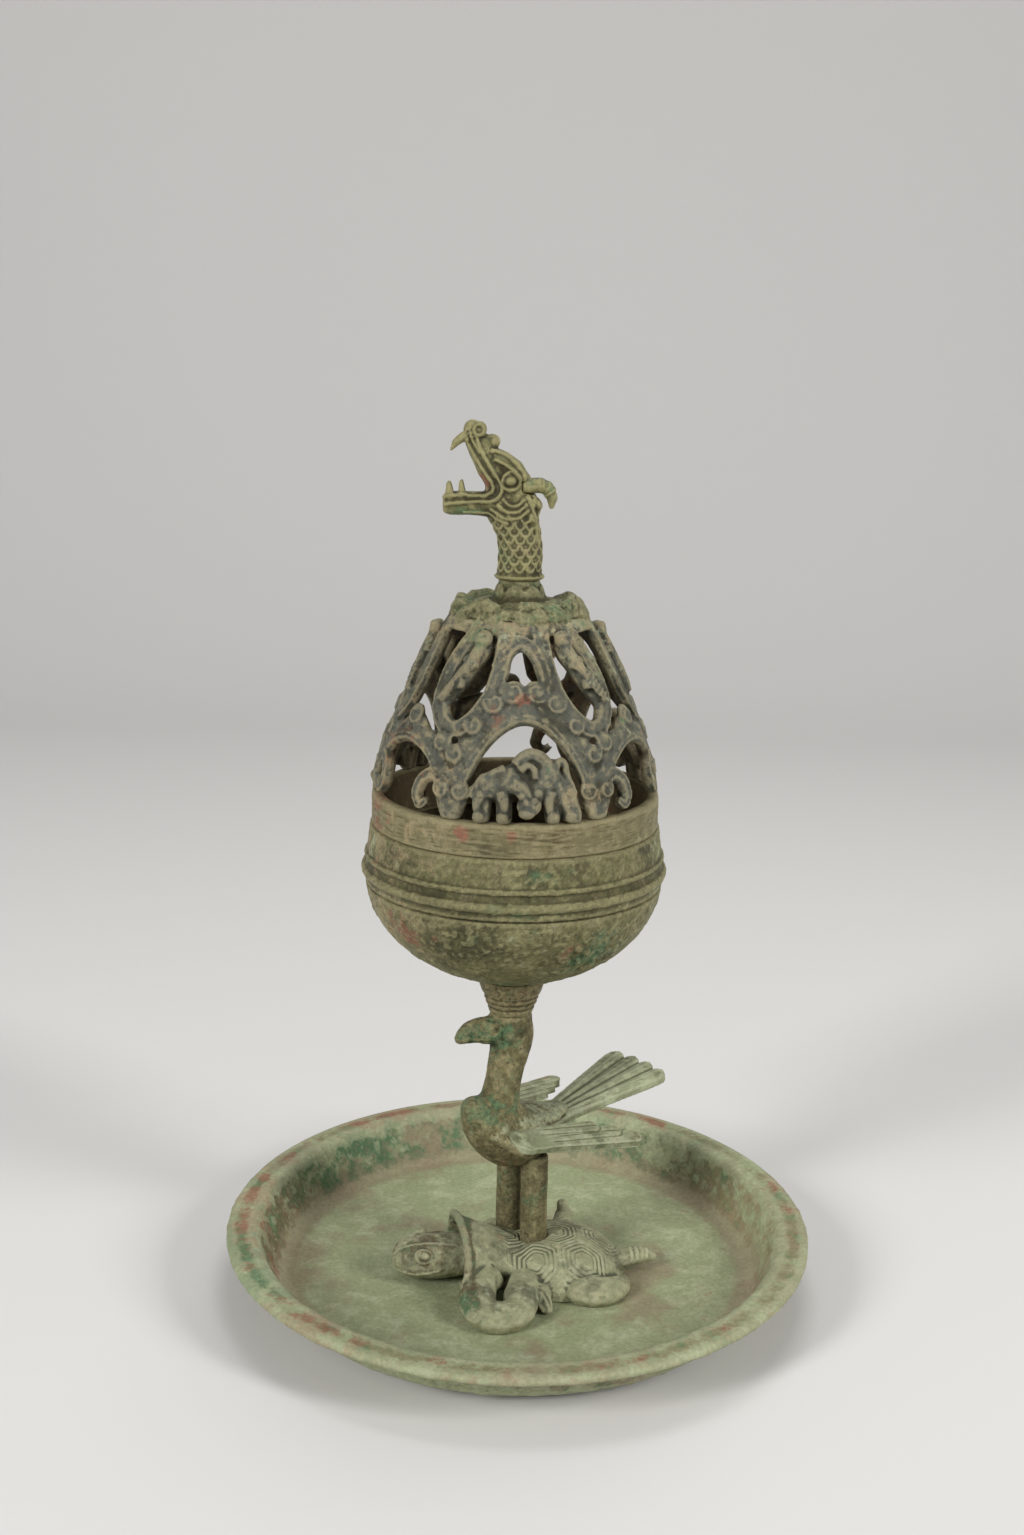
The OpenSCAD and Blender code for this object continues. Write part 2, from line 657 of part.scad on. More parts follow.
// Humped beast with its head down, in each tall arch
module lid_beasts() {
    t = hill_t + 2.4;
    leg_t = hill_t + 1.1;
    function strand(rows, steps = 1) = smooth([for (r = rows) [r[0], r[1], r[2], r[2]]], steps);
    color(slate) at_stem(hill_z) casting() intersection() {
        cylinder(d = 2 * band_d, h = hill_h, $fn = 24);
        for (k = [0:2]) rotate(front_turn + k * third) {
            ribbon(strand([[-21.4, 7, 1], [-20, 8.5, 3], [-13, 10.5, 4.2], [-4, 13, 5], [3, 14.4, 5.4],
                [8.6, 13.4, 5.2], [13.4, 10, 4.6], [16.8, 6.4, 3.8], [18.6, 2.8, 3.2], [19, -2, 3]]), t);
            ribbon(strand([[-15.4, 9.4, 2.4], [-16.8, 4.5, 2.6], [-17, -2, 2.4]]), leg_t);
            ribbon(strand([[-9, 10.8, 2.6], [-8.4, 5, 2.6], [-8.2, -2, 2.4]]), leg_t);
            ribbon(strand([[9, 11.4, 2.6], [10.4, 6, 2.6], [10.8, -2, 2.4]]), leg_t);
            ribbon(strand([[6, 10.6, 3.6], [3.4, 8.3, 3.4], [0, 5, 3], [-2.6, 3.6, 1.4]]), t + 1.3);
        }
    }
}

// Crown: cloud lobes round a column, and the peg that carries the dragon
module lid_crown() {
    r = hill_r(hill_h);
    col = column_d / 2;
    color(olive) at_stem(crown_z) difference() {
        union() {
            rotate_extrude($fn = 72) polygon(concat(
                [for (a = [0:15:75]) [col + (r - col) * cos(a), crown_h * 0.55 * sin(a)]],
                [[col, crown_h * 0.6], [col, crown_h], [peg_d / 2, crown_h], [peg_d / 2, crown_h + peg_h],
                [0, crown_h + peg_h], [0, crown_wall], [r - crown_wall, 0]]));
            for (k = [0:crown_lobes - 1]) rotate(360 * (k + 0.5) / crown_lobes) {
                translate([r * 0.66, 0, crown_h * 0.2]) sphere(d = r * 0.58, $fn = 32);
                rotate(180 / crown_lobes) translate([r * 0.42, 0, crown_h * 0.5])
                    sphere(d = r * 0.36, $fn = 32);
            }
        }
        translate([0, 0, -far_out]) cylinder(r = far_out, h = far_out, $fn = 48);
    }
}

// Dragon: places from the seat on the column, facing -X
// The head is drawn for a neck of this diameter
drawn_neck_d = 13.6;
dragon_k = neck_d / drawn_neck_d;
neck_top = 21;
horn_y = 3.4 * dragon_k;
horn_z = 29.3 * dragon_k;
horn_d = 4.4 * dragon_k;
horn_seat_x = 0.5 * dragon_k;

module dragon_neck() {
    r = drawn_neck_d / 2;
    lip = 0.9;
    foot = [[0, 0, 0, r + lip, r + lip], [0, 0, lip, r + lip, r + lip]];
    sleeve = [[0, 0, 2.4, r, r], [0.2, 0, 9, r, r], [-0.8, 0, 16, r, r * 0.94],
        [-2.6, 0, neck_top, r * 1.14, r * 0.88], [-3.6, 0, 26, r * 1.18, r * 0.9],
        [-3, 0, 31.5, r, r * 0.86], [-2.4, 0, 36, r * 0.4, r * 0.4]];
    skin(oval_rings(concat(foot, smooth(sleeve, 2)), [0, 1, 0], 16));
}

module dragon_jaws() {
    // Upper jaw, swept up to the snout
    limb([[-1, 0, 28, 5.4, 6], [-7.4, 0, 33, 5.2, 5.4], [-11.4, 0, 38.6, 4.6, 4.4],
        [-14.4, 0, 43.6, 4, 3.6], [-16, 0, 47.4, 2.6, 2.2]], sides = 12);
    knob([-15.4, 0, 46.4], [3, 3.6, 3.1], 10);
    // Lower jaw
    limb([[-3, 0, 23.4, 5.4, 5], [-11, 0, 23.4, 4.8, 4], [-17, 0, 23.6, 4.3, 3.7],
        [-21.8, 0, 23.4, 3.8, 3.8], [-24.4, 0, 23.4, 2.8, 2.8]], sides = 10);
    for (side = [-1, 1]) {
        // Nostril curl, brow, fang and lower teeth
        knob([-13.2, side * 3, 46.4], [2.5, 1.8, 2.5], 7);
        limb([[-9, side * 2.6, 39.4, 1.6, 1.4], [-5.2, side * 3.5, 37.2, 2.6, 2.4],
            [-1.6, side * 3.9, 34.4, 2.8, 2.6], [0.8, side * 4, 31.4, 2, 2]], sides = 7, steps = 1);
        limb([[-17.4, side * 2.2, 44.6, 1.9, 1.7], [-20.6, side * 2.2, 42.4, 1.4, 1.3],
            [-22.3, side * 2.2, 39.6, 0.4, 0.4]], sides = 6, steps = 1);
        limb([[-22.3, side * 2.4, 25, 1.8, 1.6], [-22.7, side * 2.4, 30.4, 0.7, 0.7]],
            up = [0, 1, 0], sides = 5, steps = 1);
        limb([[-18.4, side * 2.7, 25, 1.6, 1.4], [-18.8, side * 2.7, 31, 0.6, 0.6]],
            up = [0, 1, 0], sides = 5, steps = 1);
        // Eye and ear
        knob([-3.4, side * 5.4, 31.4], [2.5, 1.7, 2.4], 7);
        limb([[2.4, side * 3.6, 25.6, 1.9, 1.5], [5, side * 4, 24, 1.7, 1.5],
            [6.6, side * 4, 22.6, 0.9, 0.8]], sides = 6, steps = 1);
        // Lock of the mane
        limb([[1, side * 4.6, 26, 1.4, 1.4], [3.4, side * 4.4, 19, 1.6, 1.6],
            [4.6, side * 3.6, 12.6, 0.5, 0.5]], up = [0, 1, 0], sides = 6, steps = 1);
    }
    knob([-9.2, 0, 42.8], [2.8, 2.7, 2.3], 7);
}

module dragon_head() {
    color(olive) at_stem(dragon_z) difference() {
        casting() scale(dragon_k) {
            dragon_neck();
            dragon_jaws();
        }
        translate([0, 0, -1]) cylinder(d = peg_d + 2 * peg_gap, h = peg_h + peg_gap + 1, $fn = 32);
        for (side = [-1, 1])
            translate([horn_seat_x - fit_gap, side * horn_y, horn_z]) rotate([0, 90, 0])
                cylinder(d = horn_d + 2 * fit_gap, h = far_out, $fn = 32);
    }
}

module dragon_horn(side) {
    r = horn_d / 2;
    color(olive) at_stem(dragon_z) translate([horn_seat_x, side * horn_y, horn_z])
        limb([[0, 0, 0, r, r], [r * 1.36, 0, 0, r, r], [r * 2.45, 0, r * 0.1, r, r],
            [r * 3.64, 0, -r * 0.36, r * 0.95, r * 0.95], [r * 4.27, 0, -r * 1.64, r * 0.8, r * 0.8],
            [r * 4.14, 0, -r * 3.1, r * 0.3, r * 0.3]], up = [0, 1, 0], steps = 1);
}

module dragon_near_horn() dragon_horn(-1);
module dragon_far_horn() dragon_horn(1);

tray();
tortoise_body();
tortoise_head();
leg_rivets();
bird_near_leg();
bird_far_leg();
bird_body();
bird_near_wing();
bird_far_wing();
bird_tail();
stem_collar();
bowl();
bowl_rivet();
lid_band();
lid_openwork();
lid_beasts();
lid_crown();
dragon_head();
dragon_near_horn();
dragon_far_horn();
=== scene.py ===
"""Bronze hill censer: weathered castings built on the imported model, in metres."""
import math

import bmesh
import bpy
import numpy as np
from mathutils import Matrix, Vector
from mathutils.bvhtree import BVHTree


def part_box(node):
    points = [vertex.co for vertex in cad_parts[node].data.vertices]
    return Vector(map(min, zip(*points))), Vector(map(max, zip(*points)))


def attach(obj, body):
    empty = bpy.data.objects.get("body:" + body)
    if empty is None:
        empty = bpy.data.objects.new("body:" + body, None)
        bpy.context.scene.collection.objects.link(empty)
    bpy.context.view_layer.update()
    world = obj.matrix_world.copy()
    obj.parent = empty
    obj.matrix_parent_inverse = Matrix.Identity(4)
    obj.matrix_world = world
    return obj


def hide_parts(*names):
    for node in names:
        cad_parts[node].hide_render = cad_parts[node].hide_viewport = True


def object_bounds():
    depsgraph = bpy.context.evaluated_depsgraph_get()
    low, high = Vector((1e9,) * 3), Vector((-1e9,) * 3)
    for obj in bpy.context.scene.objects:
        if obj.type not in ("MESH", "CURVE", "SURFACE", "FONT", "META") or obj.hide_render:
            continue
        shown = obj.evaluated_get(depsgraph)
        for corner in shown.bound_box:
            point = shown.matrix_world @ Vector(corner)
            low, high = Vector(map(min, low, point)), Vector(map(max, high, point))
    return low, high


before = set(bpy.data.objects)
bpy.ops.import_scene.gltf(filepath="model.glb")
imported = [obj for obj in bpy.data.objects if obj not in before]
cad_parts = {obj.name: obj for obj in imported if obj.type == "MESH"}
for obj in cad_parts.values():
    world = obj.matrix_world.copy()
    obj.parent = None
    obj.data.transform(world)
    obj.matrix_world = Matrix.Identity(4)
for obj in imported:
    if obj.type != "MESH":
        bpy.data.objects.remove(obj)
cad_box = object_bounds()
scene = bpy.context.scene
MM = 0.001

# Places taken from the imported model, in millimetres
def low_high(node):
    low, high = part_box(node)
    return np.array(low) / MM, np.array(high) / MM


bowl_low, bowl_high = low_high("bowl")
STEM_X = (bowl_low[0] + bowl_high[0]) / 2
BOWL_Z = bowl_low[2]
MOUTH_Z = bowl_high[2]
HILL_Z = low_high("lid_openwork")[0][2]
CROWN_Z = low_high("lid_crown")[0][2]
DRAGON_Z = low_high("dragon_head")[0][2]
FLOOR_Z = low_high("tortoise_body")[0][2]
BIRD_PLACE, BIRD_TURN = (-1.3, -3.3), 40
SHELL_PLACE, SHELL_TURN = (13, -6), 6
BELLY_Z = FLOOR_Z + 38.4
BODY_W = 22


# Turning and placing, angles in degrees
def turn(axis, degrees):
    return np.array(Matrix.Rotation(math.radians(degrees), 3, axis))


def framed(rotation, offset):
    """A local frame as a pair of functions: to the model and back."""
    offset = np.array(offset, float)
    return (lambda p: np.asarray(p, float) @ rotation.T + offset,
            lambda p: (np.asarray(p, float) - offset) @ rotation)


from_bird, to_bird = framed(turn("Z", BIRD_TURN), (*BIRD_PLACE, 0))
from_shell, to_shell = framed(turn("Z", SHELL_TURN), (*SHELL_PLACE, FLOOR_Z))
from_dragon, to_dragon = framed(np.eye(3), (STEM_X, 0, DRAGON_Z))
to_tail = framed(turn("Z", 2) @ turn("Y", -9.5), (BODY_W * 0.773, 0, BELLY_Z + BODY_W * 0.51))[1]
WING_ROLL = {-1: 20, 1: 4}
from_wing, to_wing = {}, {}
for side, roll in WING_ROLL.items():
    wing_turn = turn("Y", 6) @ turn("X", -roll)
    from_wing[side], to_wing[side] = framed(wing_turn, (0, 0, BELLY_Z + BODY_W * 0.745))


# Mesh arrays
def fetched(items, name, width, kind=np.float32):
    rows = np.empty(len(items) * width, kind)
    items.foreach_get(name, rows)
    return rows.reshape(-1, width)


def points_of(mesh):
    return fetched(mesh.vertices, "co", 3).astype(float) / MM


def normals_of(mesh):
    return fetched(mesh.vertex_normals, "vector", 3).astype(float)


def edges_of(mesh):
    return fetched(mesh.edges, "vertices", 2, np.int32)


def set_points(mesh, co):
    mesh.vertices.foreach_set("co", (co * MM).astype(np.float32).ravel())
    mesh.update()


def averaged(values, edges):
    """Mean of each point's neighbours."""
    count = len(values)
    degree = np.maximum(np.bincount(edges.ravel(), minlength=count), 1)
    out = np.empty_like(values)
    for k in range(values.shape[1]):
        column = values[:, k]
        out[:, k] = (np.bincount(edges[:, 0], column[edges[:, 1]], count)
                     + np.bincount(edges[:, 1], column[edges[:, 0]], count)) / degree
    return out


def softened(mesh, rounds, swell=0.0, where=None):
    """Rounds off facets, everywhere or by a share from 0 to 1, then swells the skin to keep its girth."""
    co, edges = points_of(mesh), edges_of(mesh)
    share = 0.6 if where is None else 0.6 * where(co)[:, None]
    for _ in range(rounds):
        co += share * (averaged(co, edges) - co)
    set_points(mesh, co)
    if swell:
        set_points(mesh, co + swell * normals_of(mesh))
    return mesh


def lattice(co, size, seed):
    """Smooth random values from -1 to 1 on a grid of that size, from a hash of each grid point."""
    i = np.floor(co / size).astype(np.int64)
    f = co / size - i
    f = f * f * (3 - 2 * f)
    total = np.zeros(len(co))
    for corner in np.ndindex(2, 2, 2):
        n = (i + corner) * (73856093, 19349663, 83492791)
        n = (n[:, 0] ^ n[:, 1] ^ n[:, 2] ^ (seed * 2654435761)) & 0xFFFFFFFF
        n = ((n ^ (n >> 13)) * 1274126177) & 0xFFFFFFFF
        n = (n ^ (n >> 16)) & 0xFFFF
        total += np.where(corner, f, 1 - f).prod(1) * (n / 32767.5 - 1)
    return total


def cloudy(co, size, seed, octaves=3):
    return sum(lattice(co, size / 2 ** k, seed + k) / 2 ** k for k in range(octaves)) / 1.6


def smoothstep(low, high, x):
    t = np.clip((x - low) / (high - low), 0, 1)
    return t * t * (3 - 2 * t)


def near(d, width):
    return np.exp(-(d / width) ** 2)


def round_stem(co):
    """Angle from the front in degrees and distance from the stem's axis."""
    x, y = co[:, 0] - STEM_X, co[:, 1]
    return np.degrees(np.arctan2(x, -y)), np.hypot(x, y)


def spots(a, z, *rows):
    """Sum of soft spots: strength, place and width along a, then place and width along z where given."""
    total = 0
    for strength, middle, width, *band in rows:
        spot = strength * near(a - middle, width)
        total = total + (spot * near(z - band[0], band[1]) if band else spot)
    return total


# Nodes, and trees that make what repeats or follows a line
def feed(tree, socket, value):
    if hasattr(value, "is_output"):
        tree.links.new(value, socket)
    else:
        socket.default_value = (*value, 1) if socket.type == "RGBA" else value


def add_node(tree, kind, inputs, **settings):
    """New node with its settings, and with values or links fed to its inputs."""
    node = tree.nodes.new(kind)
    for name, value in settings.items():
        setattr(node, name, value)
    for socket, value in inputs.items():
        feed(tree, node.inputs[socket], value)
    return node


def new_tree(name, number):
    """Empty tree with three inputs: the geometry, a whole number of that name and the finish."""
    tree = bpy.data.node_groups.new(name, "GeometryNodeTree")
    for label, kind in (("Geometry", "Geometry"), (number, "Int"), ("Finish", "Material")):
        tree.interface.new_socket(label, in_out="INPUT", socket_type=f"NodeSocket{kind}")
    tree.interface.new_socket("Geometry", in_out="OUTPUT", socket_type="NodeSocketGeometry")
    return tree, tree.nodes.new("NodeGroupInput").outputs


def named_value(tree, name, kind):
    node = add_node(tree, "GeometryNodeInputNamedAttribute", {"Name": name}, data_type=kind)
    return node.outputs["Attribute"]


def finish_tree(tree, geometry, finish):
    real = add_node(tree, "GeometryNodeRealizeInstances", {"Geometry": geometry})
    parts = {"Geometry": real.outputs["Geometry"], "Material": finish}
    coated = add_node(tree, "GeometryNodeSetMaterial", parts)
    add_node(tree, "NodeGroupOutput", {"Geometry": coated.outputs["Geometry"]})
    return tree


def ridge_tree():
    """Round ridges along the edges of a mesh; the point value girth is half their thickness."""
    tree, given = new_tree("ridges along lines", "Sides")
    curve = add_node(tree, "GeometryNodeMeshToCurve", {"Mesh": given["Geometry"]})
    circle = add_node(tree, "GeometryNodeCurvePrimitiveCircle", {"Radius": 1, "Resolution": given["Sides"]})
    parts = {"Curve": curve.outputs["Curve"], "Profile Curve": circle.outputs["Curve"], "Fill Caps": True,
             "Scale": named_value(tree, "girth", "FLOAT")}
    sweep = add_node(tree, "GeometryNodeCurveToMesh", parts)
    return finish_tree(tree, sweep.outputs["Mesh"], given["Finish"])


def stud_tree():
    """Rounded studs on points; the point values size and face give their shape and the way they stand."""
    tree, given = new_tree("studs on points", "Roundness")
    ball = add_node(tree, "GeometryNodeMeshIcoSphere", {"Radius": 1, "Subdivisions": given["Roundness"]})
    face = {"Vector": named_value(tree, "face", "FLOAT_VECTOR")}
    upright = add_node(tree, "FunctionNodeAlignRotationToVector", face, axis="Z")
    parts = {"Points": given["Geometry"], "Instance": ball.outputs["Mesh"],
             "Rotation": upright.outputs["Rotation"], "Scale": named_value(tree, "size", "FLOAT_VECTOR")}
    put = add_node(tree, "GeometryNodeInstanceOnPoints", parts)
    return finish_tree(tree, put.outputs["Instances"], given["Finish"])


RIDGES, STUDS = ridge_tree(), stud_tree()
RAW = bpy.data.materials.new("raw casting")


def modified(mesh, kind, values=(), **settings):
    """The mesh after one modifier with these settings and, for a node tree, values for its named inputs."""
    work = bpy.data.objects.new("work", mesh)
    scene.collection.objects.link(work)
    modifier = work.modifiers.new("work", kind)
    for name, value in settings.items():
        setattr(modifier, name, value)
    for item in modifier.node_group.interface.items_tree if values else ():
        if item.in_out == "INPUT" and item.name in values:
            modifier[item.identifier] = values[item.name]
    depsgraph = bpy.context.evaluated_depsgraph_get()
    out = bpy.data.meshes.new_from_object(work.evaluated_get(depsgraph))
    bpy.data.objects.remove(work)
    return out


def voxeled(mesh, size):
    """One closed skin round everything in the mesh."""
    return modified(mesh, "REMESH", mode="VOXEL", voxel_size=size * MM)


def flow(points, step=0.8):
    """Smooth row of points through the given ones."""
    p = np.asarray(points, float)
    padded = np.vstack([2 * p[0] - p[1], p, 2 * p[-1] - p[-2]])
    out = []
    for i in range(len(p) - 1):
        a, b, c, d = padded[i:i + 4]
        count = max(1, int(np.linalg.norm(c[:3] - b[:3]) / step))
        t = np.arange(count)[:, None] / count
        out.append((2 * b + (c - a) * t + (2 * a - 5 * b + 4 * c - d) * t ** 2
                    + (3 * b - a - 3 * c + d) * t ** 3) / 2)
    return np.vstack(out + [p[-1:]])


def ring(centre, radius, normal, count=20):
    """Closed row of points round a centre."""
    n = np.array(normal, float) / np.linalg.norm(normal)
    u = np.cross(n, (0, 0, 1) if abs(n[2]) < 0.9 else (1, 0, 0))
    u /= np.linalg.norm(u)
    v = np.cross(n, u)
    a = np.linspace(0, 2 * math.pi, count + 1)[:, None]
    return np.array(centre) + radius * (np.cos(a) * u + np.sin(a) * v)


def point_mesh(points, edges, **values):
    """Mesh of points and edges that carries these point values."""
    mesh = bpy.data.meshes.new("points")
    mesh.from_pydata((np.array(points) * MM).tolist(), edges, [])
    for name, rows in values.items():
        kind, field = ("FLOAT", "value") if rows.ndim == 1 else ("FLOAT_VECTOR", "vector")
        value = mesh.attributes.new(name, kind, "POINT")
        value.data.foreach_set(field, rows.astype(np.float32).ravel())
    return mesh


class Relief:
    """Lines and studs that are cast in one with a piece."""

    def __init__(self):
        self.points, self.girths, self.edges = [], [], []
        self.studs, self.sizes, self.faces = [], [], []

    def line(self, points, girth):
        points = np.asarray(points, float)
        first = len(self.points)
        girth = np.broadcast_to(girth, len(points))
        self.points += list(points)
        self.girths += list(girth)
        self.edges += [(first + i, first + i + 1) for i in range(len(points) - 1)]

    def stud(self, place, size, face=(0, 0, 1)):
        self.studs.append(place)
        self.sizes.append(size)
        self.faces.append(face)

    def meshes(self):
        if self.points:
            lines = point_mesh(self.points, self.edges, girth=np.array(self.girths, np.float32) * MM)
            yield modified(lines, "NODES", {"Sides": 8, "Finish": RAW}, node_group=RIDGES)
        if self.studs:
            sizes, faces = np.array(self.sizes) * MM, np.array(self.faces, float)
            dots = point_mesh(self.studs, [], size=sizes, face=faces)
            yield modified(dots, "NODES", {"Roundness": 2, "Finish": RAW}, node_group=STUDS)


def joined(meshes):
    """All the meshes as one, with their doubles merged."""
    bm = bmesh.new()
    for mesh in meshes:
        bm.from_mesh(mesh)
    bmesh.ops.remove_doubles(bm, verts=bm.verts, dist=1e-6)
    out = bpy.data.meshes.new("joined")
    bm.to_mesh(out)
    bm.free()
    return out


def cast(nodes, voxel, rounds, swell, relief=None, finish_rounds=2):
    """Casting from CAD nodes: facets rounded off, relief joined on, one closed skin."""
    mesh = joined([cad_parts[n].data for n in nodes])
    mesh = softened(voxeled(mesh, voxel), rounds, swell)
    if relief is not None:
        faces = [tuple(p.vertices) for p in mesh.polygons]
        lines = relief(BVHTree.FromPolygons(points_of(mesh).tolist(), faces))
        mesh = softened(voxeled(joined([mesh, *lines.meshes()]), voxel), finish_rounds)
    return mesh


def on_skin(tree, points, lift):
    """The nearest places on a casting, lifted off it by a small length."""
    hits = [tree.find_nearest(Vector(p)) for p in points]
    return np.array([place + lift * normal for place, normal, *_ in hits])


def dense(profile, step):
    """The outline with points no further apart than about the step."""
    rows = []
    for (r0, z0), (r1, z1) in zip(profile, profile[1:]):
        count = max(1, int(math.hypot(r1 - r0, z1 - z0) / step))
        rows += [(r0 + (r1 - r0) * k / count, z0 + (z1 - z0) * k / count) for k in range(count)]
    return rows + [profile[-1]]


def turned(outline, segments, rounding=2):
    """Turned form from an outline of radius and height, which is closed when it keeps off the axis."""
    soft = np.array(outline, float)
    closed = soft[0, 0] > 0
    if closed:
        soft = soft[:-1]
    for _ in range(rounding):
        if closed:
            soft = 0.5 * soft + 0.25 * (np.roll(soft, 1, 0) + np.roll(soft, -1, 0))
        else:
            soft[1:-1] = 0.5 * soft[1:-1] + 0.25 * (soft[:-2] + soft[2:])
    a = np.arange(segments) * 2 * math.pi / segments
    points, rings = [], []
    for r, z in soft:
        if r < 1e-6:
            rings.append([len(points)])
            points.append((0, 0, z))
        else:
            rings.append(list(range(len(points), len(points) + segments)))
            points += [(r * math.cos(t), r * math.sin(t), z) for t in a]
    faces = []
    pairs = list(zip(rings, rings[1:])) + ([(rings[-1], rings[0])] if closed else [])
    for low, high in pairs:
        for j in range(segments):
            k = (j + 1) % segments
            loop = [low[j % len(low)], low[k % len(low)], high[k % len(high)], high[j % len(high)]]
            faces.append(list(dict.fromkeys(loop)))
    mesh = bpy.data.meshes.new("turned")
    mesh.from_pydata((np.array(points) * MM).tolist(), [], faces)
    bm = bmesh.new()
    bm.from_mesh(mesh)
    bmesh.ops.recalc_face_normals(bm, faces=bm.faces)
    bm.to_mesh(mesh)
    bm.free()
    return mesh


def weathered(mesh, lumps, size, pits, seed, mask=None):
    """Corrosion: soft lumps and small pits along the normals."""
    co = points_of(mesh)
    amount = lumps * cloudy(co, size, seed) - pits * smoothstep(0.25, 0.8, cloudy(co, size / 2.6, seed + 9))
    if mask is not None:
        amount = amount * mask(co)
    set_points(mesh, co + amount[:, None] * normals_of(mesh))


def point_value(mesh, name, values):
    attribute = mesh.attributes.get(name) or mesh.attributes.new(name, "FLOAT", "POINT")
    attribute.data.foreach_set("value", np.asarray(values, np.float32))


def crusts(mesh, **shares):
    """Point values that say where each kind of crust lies; in places the brown crust is painted shade and the
    pale crust painted light.
    """
    for name, values in shares.items():
        point_value(mesh, name, values)


def wear(mesh, reach, scale):
    """Point values for the finish: relief, above 0 on edges and below 0 in hollows, and the wider depth."""
    co, edges, normals = points_of(mesh), edges_of(mesh), normals_of(mesh)
    soft = co
    for name, rounds, unit in (("relief", reach, scale), ("depth", reach * 5, scale * 4)):
        for _ in range(rounds):
            soft = averaged(soft, edges)
        point_value(mesh, name, np.clip(((co - soft) * normals).sum(1) / unit, -1, 1))
    for name, *_ in CRUSTS:
        if name not in mesh.attributes:
            point_value(mesh, name, np.zeros(len(co)))


def piece(name, mesh, worn, body, slot, finish, nodes):
    """The mesh as a named piece inside the CAD box; worn is the reach and the scale of its wear."""
    wear(mesh, *worn)
    mesh.name = name
    set_points(mesh, np.clip(points_of(mesh), np.array(cad_box[0]) / MM, np.array(cad_box[1]) / MM))
    for polygon in mesh.polygons:
        polygon.use_smooth = True
    mesh.materials.clear()
    mesh.materials.append(FINISHES[finish])
    thing = bpy.data.objects.new(name, mesh)
    scene.collection.objects.link(thing)
    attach(thing, body)
    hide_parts(*nodes)


# Finishes
class Graph:
    """Short hand for building a material."""

    def __init__(self, name):
        self.material = bpy.data.materials.new(name)
        self.material.use_nodes = True
        self.tree = self.material.node_tree
        self.place = self.node("TexCoord", {}).outputs["Object"]

    def node(self, kind, inputs, **settings):
        return add_node(self.tree, f"ShaderNode{kind}", inputs, **settings)

    def noise(self, scale, detail, roughness, shift):
        moved = self.node("Mapping", {"Vector": self.place, "Location": (shift, shift * 0.7, -shift)})
        look = {"Vector": moved.outputs["Vector"], "Scale": scale, "Detail": detail, "Roughness": roughness}
        return self.node("TexNoise", look).outputs["Fac"]

    def value(self, name):
        return self.node("Attribute", {}, attribute_name=name).outputs["Fac"]

    def math(self, operation, a, b):
        return self.node("Math", {0: a, 1: b}, operation=operation).outputs[0]

    def frayed(self, value, noise, swing):
        """A value with its edge moved to and fro by a noise."""
        return self.math("ADD", value, self.math("MULTIPLY", self.math("SUBTRACT", noise, 0.5), swing))

    def span(self, value, low, high, to_low, to_high):
        """A value spread smoothly from one range to another."""
        ends = {"Value": value, "From Min": low, "From Max": high, "To Min": to_low, "To Max": to_high}
        return self.node("MapRange", ends, interpolation_type="SMOOTHSTEP").outputs["Result"]

    def mix(self, factor, a, b, blend="MIX"):
        parts = {"Factor": factor, 6: a, 7: b}
        return self.node("Mix", parts, data_type="RGBA", blend_type=blend).outputs[2]


RUST = (0.23, 0.088, 0.055)
VERDIGRIS = (0.07, 0.17, 0.08)
EARTH = (0.34, 0.265, 0.145)
BROWN = (0.1, 0.07, 0.034)
PALE = (0.36, 0.395, 0.25)
# Crusts from the lowest up: point value, colour, strength and whether the edge is ragged
# In places the brown crust stands for painted shade and the pale and earth crusts for painted light.
CRUSTS = (("brown", BROWN, 0.85, True), ("pale", PALE, 0.8, False), ("earth", EARTH, 0.75, True),
          ("rust", RUST, 0.8, False), ("green", VERDIGRIS, 0.75, True))


def patina(name, ground, light, dark, metal, rough, mottle, shift, deep=0.75, edge=0.5, fleck=0.8,
           crust=0.0004, grit=0.35):
    """Old bronze: ground colour flecked light and dark, deeper in hollows, paler on edges, with crusts."""
    g = Graph(name)
    broad = g.noise(55 * mottle, 5, 0.62, shift)
    patch = g.noise(210 * mottle, 7, 0.66, shift + 0.3)
    grain = g.noise(640, 5, 0.72, shift + 0.6)
    ragged = g.noise(170 * mottle, 8, 0.72, shift + 0.9)
    relief, depth = g.value("relief"), g.value("depth")
    colour = g.mix(g.span(patch, 0.44, 0.62, 0, fleck), ground, light)
    colour = g.mix(g.span(broad, 0.5, 0.66, 0, 0.75), colour, dark)
    colour = g.mix(g.span(g.frayed(depth, ragged, 1.2), -0.15, -0.8, 0, deep), colour, dark)
    for label, tint, strength, torn in CRUSTS:
        amount = g.frayed(g.value(label), ragged if torn else patch, 2.6)
        colour = g.mix(g.span(amount, 0.4, 0.8, 0, strength), colour, tint)
    colour = g.mix(g.span(relief, -0.1, -0.7, 0, deep), colour, dark)
    colour = g.mix(g.span(g.frayed(relief, ragged, 0.9), 0.12, 0.75, 0, edge), colour, light)
    speck = g.span(grain, 0.36, 0.66, 1 - 0.36 * grit, 1 + 0.26 * grit)
    height = g.math("ADD", g.math("MULTIPLY", grain, 0.9), g.math("ADD", patch, ragged))
    bump = g.node("Bump", {"Strength": 0.85, "Distance": crust, "Height": height})
    shader = g.tree.nodes["Principled BSDF"].inputs
    for socket, value in (("Base Color", g.mix(1, colour, speck, "MULTIPLY")), ("Metallic", metal),
                          ("Roughness", g.span(patch, 0.35, 0.65, *rough)), ("Specular IOR Level", 0.25),
                          ("Normal", bump.outputs["Normal"])):
        feed(g.tree, shader[socket], value)
    return g.material


